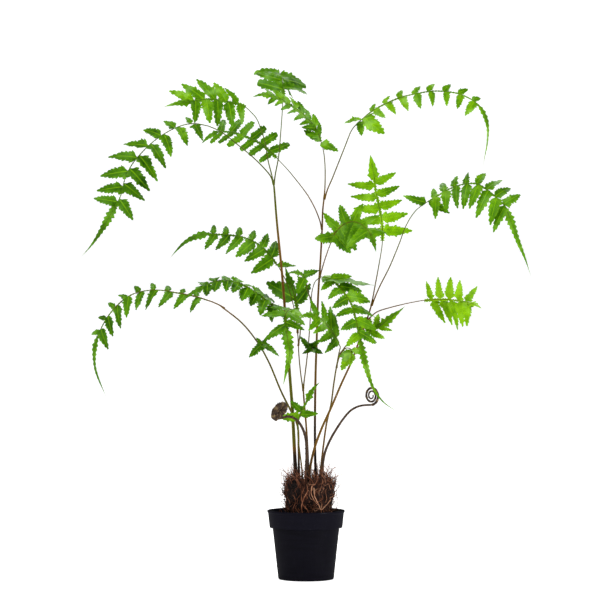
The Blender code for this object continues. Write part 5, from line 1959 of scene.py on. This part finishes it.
@dataclass
class NurseryPot:
    """The moulded pot, sized from the frame's own pot."""

    wall: float = 0.0014
    base: float = 0.043
    step: float = 0.0046
    draft: float = 0.0036
    bead: float = 0.0011
    foot_width: float = 0.0045
    foot_height: float = 0.0030
    centre_foot: float = 0.0120
    drains: int = 6
    drain: float = 0.0045
    drain_ring: float = 0.0300
    sides: int = 128

    def build(self, material: bpy.types.Material) -> bpy.types.Object:
        """Makes the pot.

        Args:
            material: The plastic.

        Returns:
            The finished piece.
        """
        low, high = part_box("nursery_pot")
        rim, top = (high[0] - low[0]) / 2, high[2]
        base, step, draft = self.base, self.step, self.draft
        shoulder = top - POT_COLLAR
        body = rim - draft - step

        def radius(height: float) -> float:
            """The wall's outer radius at a height."""
            return base + (body - base) * height / shoulder

        floor = self.foot_height + 0.0020
        profile = [
            (0, floor), (radius(floor) - self.wall - 0.003, floor),
            (radius(floor) - self.wall - 0.0008, floor + 0.0006), (radius(floor) - self.wall, floor + 0.0026),
            (radius(shoulder) - self.wall, shoulder - 0.0004),
            (radius(shoulder) - self.wall + 0.0006, shoulder + 0.0006),
            (rim - draft - self.wall - 0.0006, shoulder + step - 0.0006),
            (rim - draft - self.wall, shoulder + step), (rim - self.bead - self.wall, top - self.bead),
            (rim - self.bead - self.wall * 0.75, top - 0.0002), (rim - self.bead - self.wall * 0.45, top),
            (rim - self.bead * 0.55, top), (rim - 0.0002, top - 0.0002),
            (rim, top - self.bead * 0.6), (rim, top - 2.4 * self.bead), (rim - 0.0002, top - 2.8 * self.bead),
            (rim - self.bead, top - 3.6 * self.bead), (rim - self.bead - 0.0001, top - 4.2 * self.bead),
            (rim - draft + 0.0001, shoulder + 0.0006), (rim - draft, shoulder + 0.0001),
            (rim - draft - 0.0003, shoulder - 0.0005), (rim - draft - 0.0010, shoulder - self.wall * 0.5),
            (body + 0.0008, shoulder - self.wall * 0.5), (body, shoulder - 0.0012),
            (radius(0.055), 0.055), (radius(0.030), 0.030), (radius(0.0022), 0.0022), (base - 0.0002, 0.0009),
            (base - 0.0009, 0.0001), (base - self.bead - 0.0003, 0), (base - self.foot_width, 0),
            (base - self.foot_width - 0.0005, 0.0003), (base - self.foot_width - 0.0014, self.foot_height),
            (self.centre_foot + 0.0014, self.foot_height), (self.centre_foot + 0.0002, 0.0002),
            (self.centre_foot - 0.0003, 0), (0, 0),
        ]
        pot = turned("nursery_pot_shell", profile, self.sides)
        drills = bmesh.new()
        for index in range(self.drains):
            angle = math.tau * (index + 0.5) / self.drains
            place = (self.drain_ring * math.cos(angle), self.drain_ring * math.sin(angle), 0.004)
            bmesh.ops.create_cone(drills, cap_ends=True, segments=24, radius1=self.drain,
                                  radius2=self.drain, depth=0.008, matrix=Matrix.Translation(place))
        cutter_mesh = bpy.data.meshes.new("drain_drills")
        drills.to_mesh(cutter_mesh)
        drills.free()
        cutter = bpy.data.objects.new("drain_drills", cutter_mesh)
        bpy.context.scene.collection.objects.link(cutter)
        cut = pot.modifiers.new("drains", "BOOLEAN")
        cut.operation, cut.object = "DIFFERENCE", cutter
        settle(pot)
        put_away(cutter)
        pot.data.materials.clear()
        pot.data.materials.append(material)
        pot.data.set_sharp_from_angle(angle=math.radians(42))
        return pot


def settle(piece: bpy.types.Object) -> None:
    """Turns a piece's modifiers into its mesh.

    Args:
        piece: The object, whose modifiers are removed.
    """
    bpy.context.view_layer.update()
    graph = bpy.context.evaluated_depsgraph_get()
    mesh = bpy.data.meshes.new_from_object(piece.evaluated_get(graph), depsgraph=graph)
    piece.modifiers.clear()
    mesh.name = piece.name
    piece.data = mesh


def bridge(shell: Shell, inner: list[int], outer: list[int]) -> None:
    """Joins two loops, or a point and a loop, with faces that look up and out.

    Args:
        shell: What the faces are added to.
        inner: The inner or upper loop, or the one point.
        outer: The outer or lower loop.
    """
    count = len(outer)
    for step in range(count):
        follow = (step + 1) % count
        corners = (inner[step % len(inner)], outer[step], outer[follow], inner[follow % len(inner)])
        shell.face(tuple(dict.fromkeys(corners)))


@dataclass
class Compost:
    """The potting mix: an uneven crumb surface with loose crumbs on it."""

    rings: int = 46
    sides: int = 150

    def build(self, material: bpy.types.Material, tree: CrumbTree) -> list[bpy.types.Object]:
        """Makes the mix and its crumbs.

        Args:
            material: The compost.
            tree: The tree that scatters crumbs.

        Returns:
            The finished pieces.
        """
        low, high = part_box("potting_mix")
        edge = (high[0] - low[0]) / 2
        top, floor = high[2] - 0.0014, low[2]
        shell = Shell()
        previous = [shell.vertex(Vector((0, 0, top)), pale=0.0)]
        for ring in range(1, self.rings + 1):
            loop = []
            for step in range(self.sides):
                radius = edge * ring / self.rings
                angle = math.tau * step / self.sides
                place = Vector((radius * math.cos(angle), radius * math.sin(angle), top))
                settled = 1.0 if ring < self.rings else 0.0
                lump = noise.fractal(place * 160.0, 1.0, 2.2, 4) * 0.0011 + noise.noise(place * 60.0) * 0.0012
                place.z += lump * settled - 0.0016 * (ring / self.rings) ** 6
                loop.append(shell.vertex(place, pale=0.0))
            bridge(shell, previous, loop)
            previous = loop
        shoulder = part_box("nursery_pot")[1][2] - POT_COLLAR
        for radius, height in ((edge - 0.0004, shoulder + 0.006), (edge - 0.0060, shoulder - 0.001),
                               (edge - 0.0100, (shoulder + floor) / 2), (0.0400, floor)):
            loop = []
            for step in range(self.sides):
                angle = math.tau * step / self.sides
                place = Vector((radius * math.cos(angle), radius * math.sin(angle), height))
                loop.append(shell.vertex(place, pale=0.0))
            bridge(shell, previous, loop)
            previous = loop
        shell.face(tuple(reversed(previous)))
        mix = shell.to_object("potting_mix_crumb")
        mix.data.materials.append(material)
        crumb = self._crumb()
        ring_host = self._ring(edge - 0.0022, top - 0.0002)
        crumbs = tree.grow(ring_host, "potting_mix_loose_crumbs", Crumb=crumb, Density=260000.0,
                           Spacing=0.0014, Smallest=0.0006, Largest=0.0024, Palest=0.9, Seed=4,
                           Material=material)
        put_away(ring_host)
        put_away(crumb)
        return [mix, crumbs]

    @staticmethod
    def _crumb() -> bpy.types.Object:
        """One angular crumb, two units across."""
        lump = bmesh.new()
        bmesh.ops.create_icosphere(lump, subdivisions=1, radius=1.0)
        for vertex in lump.verts:
            vertex.co *= 1.0 + 0.25 * noise.noise(vertex.co * 3.1)
        mesh = bpy.data.meshes.new("crumb")
        lump.to_mesh(mesh)
        lump.free()
        made = bpy.data.objects.new("crumb", mesh)
        bpy.context.scene.collection.objects.link(made)
        return made

    @staticmethod
    def _ring(radius: float, height: float) -> bpy.types.Object:
        """A flat ring between the crown and the wall that crumbs are scattered on.

        Args:
            radius: Its outer radius.
            height: How high it lies.

        Returns:
            The helper object.
        """
        shell = Shell()
        loops = []
        for reach in (0.018, radius):
            loops.append([shell.vertex(Vector((reach * math.cos(math.tau * step / 64),
                                               reach * math.sin(math.tau * step / 64), height)))
                          for step in range(64)])
        bridge(shell, loops[0], loops[1])
        return shell.to_object("crumb_ring")


@dataclass
class RootCrown:
    """The clump of old roots that the fronds grow from: a dark core under layers of wiry fibre."""

    rings: int = 44
    sides: int = 96
    shrink: float = 0.0045

    def core(self) -> bpy.types.Object:
        """The uneven core, near black as painted shade between the fibres, with a cleft between its two
        heads.
        """
        low, high = (Vector(corner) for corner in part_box("root_crown"))
        middle, half = (low + high) / 2, (high - low) / 2
        shell = Shell()
        previous = [shell.vertex(Vector((middle.x, middle.y, low.z)), shade=0.05)]
        for ring in range(1, self.rings + 1):
            share = ring / self.rings
            loop = []
            for step in range(self.sides):
                angle = math.tau * step / self.sides
                reach, height = self._outline(share)
                lean = 0.004 * max(0.0, height - 0.25)
                place = Vector((middle.x + lean + half.x * reach * math.cos(angle),
                                middle.y + half.y * reach * math.sin(angle), low.z + 2 * half.z * height))
                bumps = noise.fractal(place * 70.0, 1.0, 2.1, 4) * 0.0050
                outwards = Vector((math.cos(angle), math.sin(angle), 0.4 if height > 0.9 else 0.0))
                place += outwards * (bumps - self.shrink) * min(1.0, 3.0 * reach)
                cleft = math.exp(-((place.x - 0.002) / 0.008) ** 2) * max(0.0, height - 0.70)
                place.z -= cleft * 0.050
                # near black shade values: the core's dark is painted shade, seen in the gaps between the
                # fibres
                loop.append(shell.vertex(place, shade=0.04 + 0.1 * noise.noise(place * 200.0)))
            if len(previous) > 1:
                bridge(shell, loop, previous)
            else:
                self._cap(shell, previous, loop)
            previous = loop
        shell.face(tuple(previous))
        return shell.to_object("root_crown_core")

    @staticmethod
    def _cap(shell: Shell, centre: list[int], loop: list[int]) -> None:
        """Closes the underside."""
        for step in range(len(loop)):
            shell.face((centre[0], loop[(step + 1) % len(loop)], loop[step]))

    @staticmethod
    def _outline(share: float) -> tuple[float, float]:
        """The core's outline.

        Args:
            share: The share of the way from its foot to its top.

        Returns:
            The reach and the height there, each as a share.
        """
        stops = ((0.0, 0.02, 0.0), (0.06, 0.78, 0.0), (0.20, 0.80, 0.16), (0.45, 0.90, 0.42),
                 (0.70, 0.99, 0.70), (0.80, 0.95, 0.86), (0.90, 0.74, 0.97), (1.0, 0.10, 1.0))
        for (low, reach, height), (high, reach_end, height_end) in zip(stops, stops[1:]):
            if share <= high:
                part = (share - low) / (high - low)
                return reach + (reach_end - reach) * part, height + (height_end - height) * part
        return 0.1, 1.0

    def build(self, material: bpy.types.Material, tree: StrandTree) -> list[bpy.types.Object]:
        """Makes the core and its layers of fibre.

        Args:
            material: The root fibre.
            tree: The tree that grows strands.

        Returns:
            The finished pieces.
        """
        core = self.core()
        core.data.materials.append(material)
        wire, thick = strand_mesh(7, 3), strand_mesh(12, 4)
        layers = {
            "matted": dict(Strand=wire, Density=90000.0, Spacing=0.0018, Shortest=0.010, Longest=0.024,
                           Radius=0.00050, Lift=0.04, Wander=1.0, Curl=0.22, Turns=6.0, Darkest=-0.20,
                           Palest=0.44, Trend=(0.0, 0.0, 0.25), Seed=11),
            "wiry": dict(Strand=thick, Density=26000.0, Spacing=0.0029, Shortest=0.016, Longest=0.034,
                         Radius=0.00074, Lift=0.03, Wander=0.60, Curl=0.30, Turns=5.0, Darkest=0.20,
                         Palest=0.98, Trend=(0.0, 0.0, 0.65), Seed=23),
            "hairs": dict(Strand=wire, Density=1100.0, Spacing=0.0070, Shortest=0.006, Longest=0.013,
                          Radius=0.00030, Lift=0.75, Wander=0.8, Curl=0.30, Turns=6.0, Darkest=0.15,
                          Palest=0.75, Trend=(0.0, 0.0, 0.3), Seed=31),
        }
        grown = [tree.grow(core, f"root_crown_{name}", Flatness=0.0, Material=material, **sizes)
                 for name, sizes in layers.items()]
        for helper in (wire, thick):
            put_away(helper)
        return [core, *grown]

    def loops(self, material: bpy.types.Material) -> bpy.types.Object:
        """The few thick roots that loop over the front, and the stray ones that stand clear.

        Args:
            material: The root fibre.

        Returns:
            The finished piece.
        """
        shell = Shell()
        for points, radius, shade in THICK_ROOTS:
            path = smooth([metres(point) for point in points], 8)
            count = len(path) - 1
            radii = [radius * CM * (1.0 - 0.7 * (index / count) ** 2) for index in range(count + 1)]
            shades = [{"shade": shade + 0.12 * math.sin(index * 0.7)} for index in range(count + 1)]
            shell.tube(path, radii, 6, 0.0, shades)
        made = shell.to_object("root_crown_thick_roots")
        made.data.materials.append(material)
        return made


@dataclass
class RolledFrond:
    """A fiddlehead: its stalk, the coil, and the scales that cover it."""

    plan: Fiddlehead
    bulk: float
    taper: float
    scales: dict

    def path(self) -> tuple[list[Vector], int]:
        """The stalk's and the coil's points.

        Returns:
            The points, and how many of them belong to the stalk.
        """
        points = smooth([metres(point) for point in self.plan.stem], 8)
        stalk = len(points)
        heading = Vector(self.plan.coil_x).normalized()
        inward = Vector(self.plan.coil_z)
        inward = (inward - inward.dot(heading) * heading).normalized()
        outer, inner = (radius * CM for radius in self.plan.coil_radius)
        middle = points[-1] + inward * outer
        steps = round(44 * self.plan.turns)
        for step in range(1, steps + 1):
            share = step / steps
            angle = math.tau * self.plan.turns * share
            radius = outer + (inner - outer) * share
            points.append(middle + radius * (math.sin(angle) * heading - math.cos(angle) * inward))
        return points, stalk

    def build(self, material: bpy.types.Material, tree: StrandTree) -> list[bpy.types.Object]:
        """Makes the stalk with its coil, and its scales.

        Args:
            material: The fiddlehead's skin.
            tree: The tree that grows strands.

        Returns:
            The finished pieces.
        """
        points, stalk = self.path()
        thick, thin = (radius * CM for radius in self.plan.radius)
        radii, numbers = [], []
        count = len(points)
        for index in range(count):
            if index < stalk:
                share = index / stalk
                radii.append(thick + (thin - thick) * share)
                numbers.append({"shade": 0.16 + 0.20 * math.sin(index * 0.55) ** 2})
            else:
                share = (index - stalk) / (count - stalk)
                knuckle = 1.0 + 0.10 * math.sin(index * 1.1)
                radii.append(thin * self.bulk * (1.0 - self.taper * share) * knuckle)
                band = (0.5 + 0.5 * math.sin(index * 0.9)) ** 3
                numbers.append({"shade": 0.10 + 0.62 * band * (1.0 - 0.5 * share)})
        shell = Shell()
        shell.tube(points, radii, 12, 0.25, numbers, Vector((0, -1, 0.3)))
        body = shell.to_object(f"{self.plan.name}_stalk_and_coil")
        body.data.materials.append(material)
        flake = strand_mesh(3, 4)
        scales = tree.grow(body, f"{self.plan.name}_scales", Strand=flake, Flatness=0.6,
                           Material=material, **self.scales)
        put_away(flake)
        return [body, scales]


# ---------------------------------------------------------------- studio

@dataclass
class Studio:
    """A pale floor, soft light from all round, and the camera."""

    eye: tuple = (-0.0093, -3.4, 0.36)
    aim: tuple = (-0.0093, 0.0, 0.431)
    lens: float = 131.6
    sensor: float = 36.0

    def sweep(self) -> None:
        """The floor, level with the pot's foot, and the wall that it runs up into far behind."""
        shell = Shell()
        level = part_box("nursery_pot")[0][2] - 0.0002
        wide, near, far, bend, tall = 9.0, -9.0, 5.0, 2.0, 7.0
        profile = [(near, level), (far - bend, level)]
        turns = [step * math.pi / 24 for step in range(1, 13)]
        profile += [(far - bend + bend * math.sin(turn), level + bend * (1 - math.cos(turn)))
                    for turn in turns]
        profile.append((far, tall))
        rows = [[shell.vertex(Vector((x * wide, y, z))) for x in (-1, 1)] for y, z in profile]
        for low, high in zip(rows, rows[1:]):
            shell.face((low[0], low[1], high[1], high[0]))
        made = shell.to_object("studio_sweep")
        made.data.materials.append(FloorFinish().material())

    def light(self) -> None:
        """The world and the soft lights."""
        world = bpy.data.worlds.new("studio_world")
        world.use_nodes = True
        background = world.node_tree.nodes["Background"]
        background.inputs["Color"].default_value = (1.0, 1.0, 1.0, 1.0)
        background.inputs["Strength"].default_value = 0.40
        bpy.context.scene.world = world
        for name, place, size, power in (
            ("strip", (1.60, -1.10, 0.10), 0.40, 34.0),
            ("key", (-1.3, -1.5, 2.6), 0.9, 80.0),
            ("fill", (2.1, -1.6, 1.0), 1.4, 8.0),
            ("rim", (0.6, 1.6, 2.4), 1.2, 62.0),
        ):
            lamp = bpy.data.lights.new(name, "AREA")
            lamp.size, lamp.energy = size, power
            if name == "strip":
                lamp.shape, lamp.size_y = "RECTANGLE", 1.0
            made = bpy.data.objects.new(name, lamp)
            made.location = place
            made.rotation_euler = (Vector((0, 0, 0.4)) - Vector(place)).to_track_quat("-Z", "Y").to_euler()
            bpy.context.scene.collection.objects.link(made)

    def camera(self) -> None:
        """The camera at the front view's angle."""
        lens = bpy.data.cameras.new("front_camera")
        lens.lens, lens.sensor_width = self.lens, self.sensor
        made = bpy.data.objects.new("front_camera", lens)
        made.location = self.eye
        made.rotation_euler = (Vector(self.aim) - Vector(self.eye)).to_track_quat("-Z", "Y").to_euler()
        bpy.context.scene.collection.objects.link(made)
        bpy.context.scene.camera = made

    def build(self) -> None:
        """Sets the whole studio up."""
        self.sweep()
        self.light()
        self.camera()
        bpy.context.scene.view_settings.view_transform = "Standard"


# ---------------------------------------------------------------- assembly

def declare(piece: bpy.types.Object, slot: Slot, *nodes: str) -> None:
    """Rides a piece on the plant's one body, hides the CAD nodes that it replaces, and logs its faces.

    Args:
        piece: The finished piece.
        slot: Not used.
        nodes: The CAD nodes that it replaces.
    """
    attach(piece, BODY)
    if nodes:
        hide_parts(*nodes)
    LOG.info("%s: %d faces", piece.name, len(piece.data.polygons))


def main() -> None:
    """Builds every sub-assembly in order and declares its pieces."""
    logging.basicConfig(level=logging.INFO, format="%(message)s")
    plastic = PlasticFinish().material()
    compost = CompostFinish().material()
    fibre = RootFinish().material()
    bark = StemFinish().material()
    scaly = ScaleFinish().material()
    leaf = LeafFinish().material()
    strands, leaflets, crumbs = StrandTree(), LeafletTree(), CrumbTree()

    declare(NurseryPot().build(plastic), Slot.POT, "nursery_pot")
    mix, loose = Compost().build(compost, crumbs)
    declare(mix, Slot.COMPOST, "potting_mix")
    declare(loose, Slot.COMPOST)
    crown = RootCrown()
    core, *layers = crown.build(fibre, strands)
    declare(core, Slot.FIBRE, "root_crown")
    for layer in [*layers, crown.loops(fibre)]:
        declare(layer, Slot.FIBRE)

    forms = {shape.form: shape.build() for shape in SHAPES}
    for number, frond in enumerate(FRONDS):
        stem = FrondStem(frond, TINTS[frond.name]).build(bark)
        declare(stem, Slot.STEM, f"{frond.name}_stem")
        for place, blade in enumerate(frond.blades):
            name = f"{frond.name}_{blade.name}"
            pinna = Pinna(frond.name, blade, DRESSES.get(name, Dress()), 100 * number + 10 * place)
            declare(pinna.build(leaflets, forms, leaf), Slot.LEAF, f"{name}_blade")
    for helper in forms.values():
        put_away(helper)
    for plan in FIDDLEHEADS:
        body, scales = RolledFrond(plan, *ROLLED[plan.name]).build(scaly, strands)
        declare(body, Slot.SCALE, plan.name)
        declare(scales, Slot.SCALE)

    Studio().build()


def plain(box: tuple) -> list:
    """A box as plain lists of numbers."""
    return [[float(value) for value in corner] for corner in box]


if __name__ == "__main__":
    main()
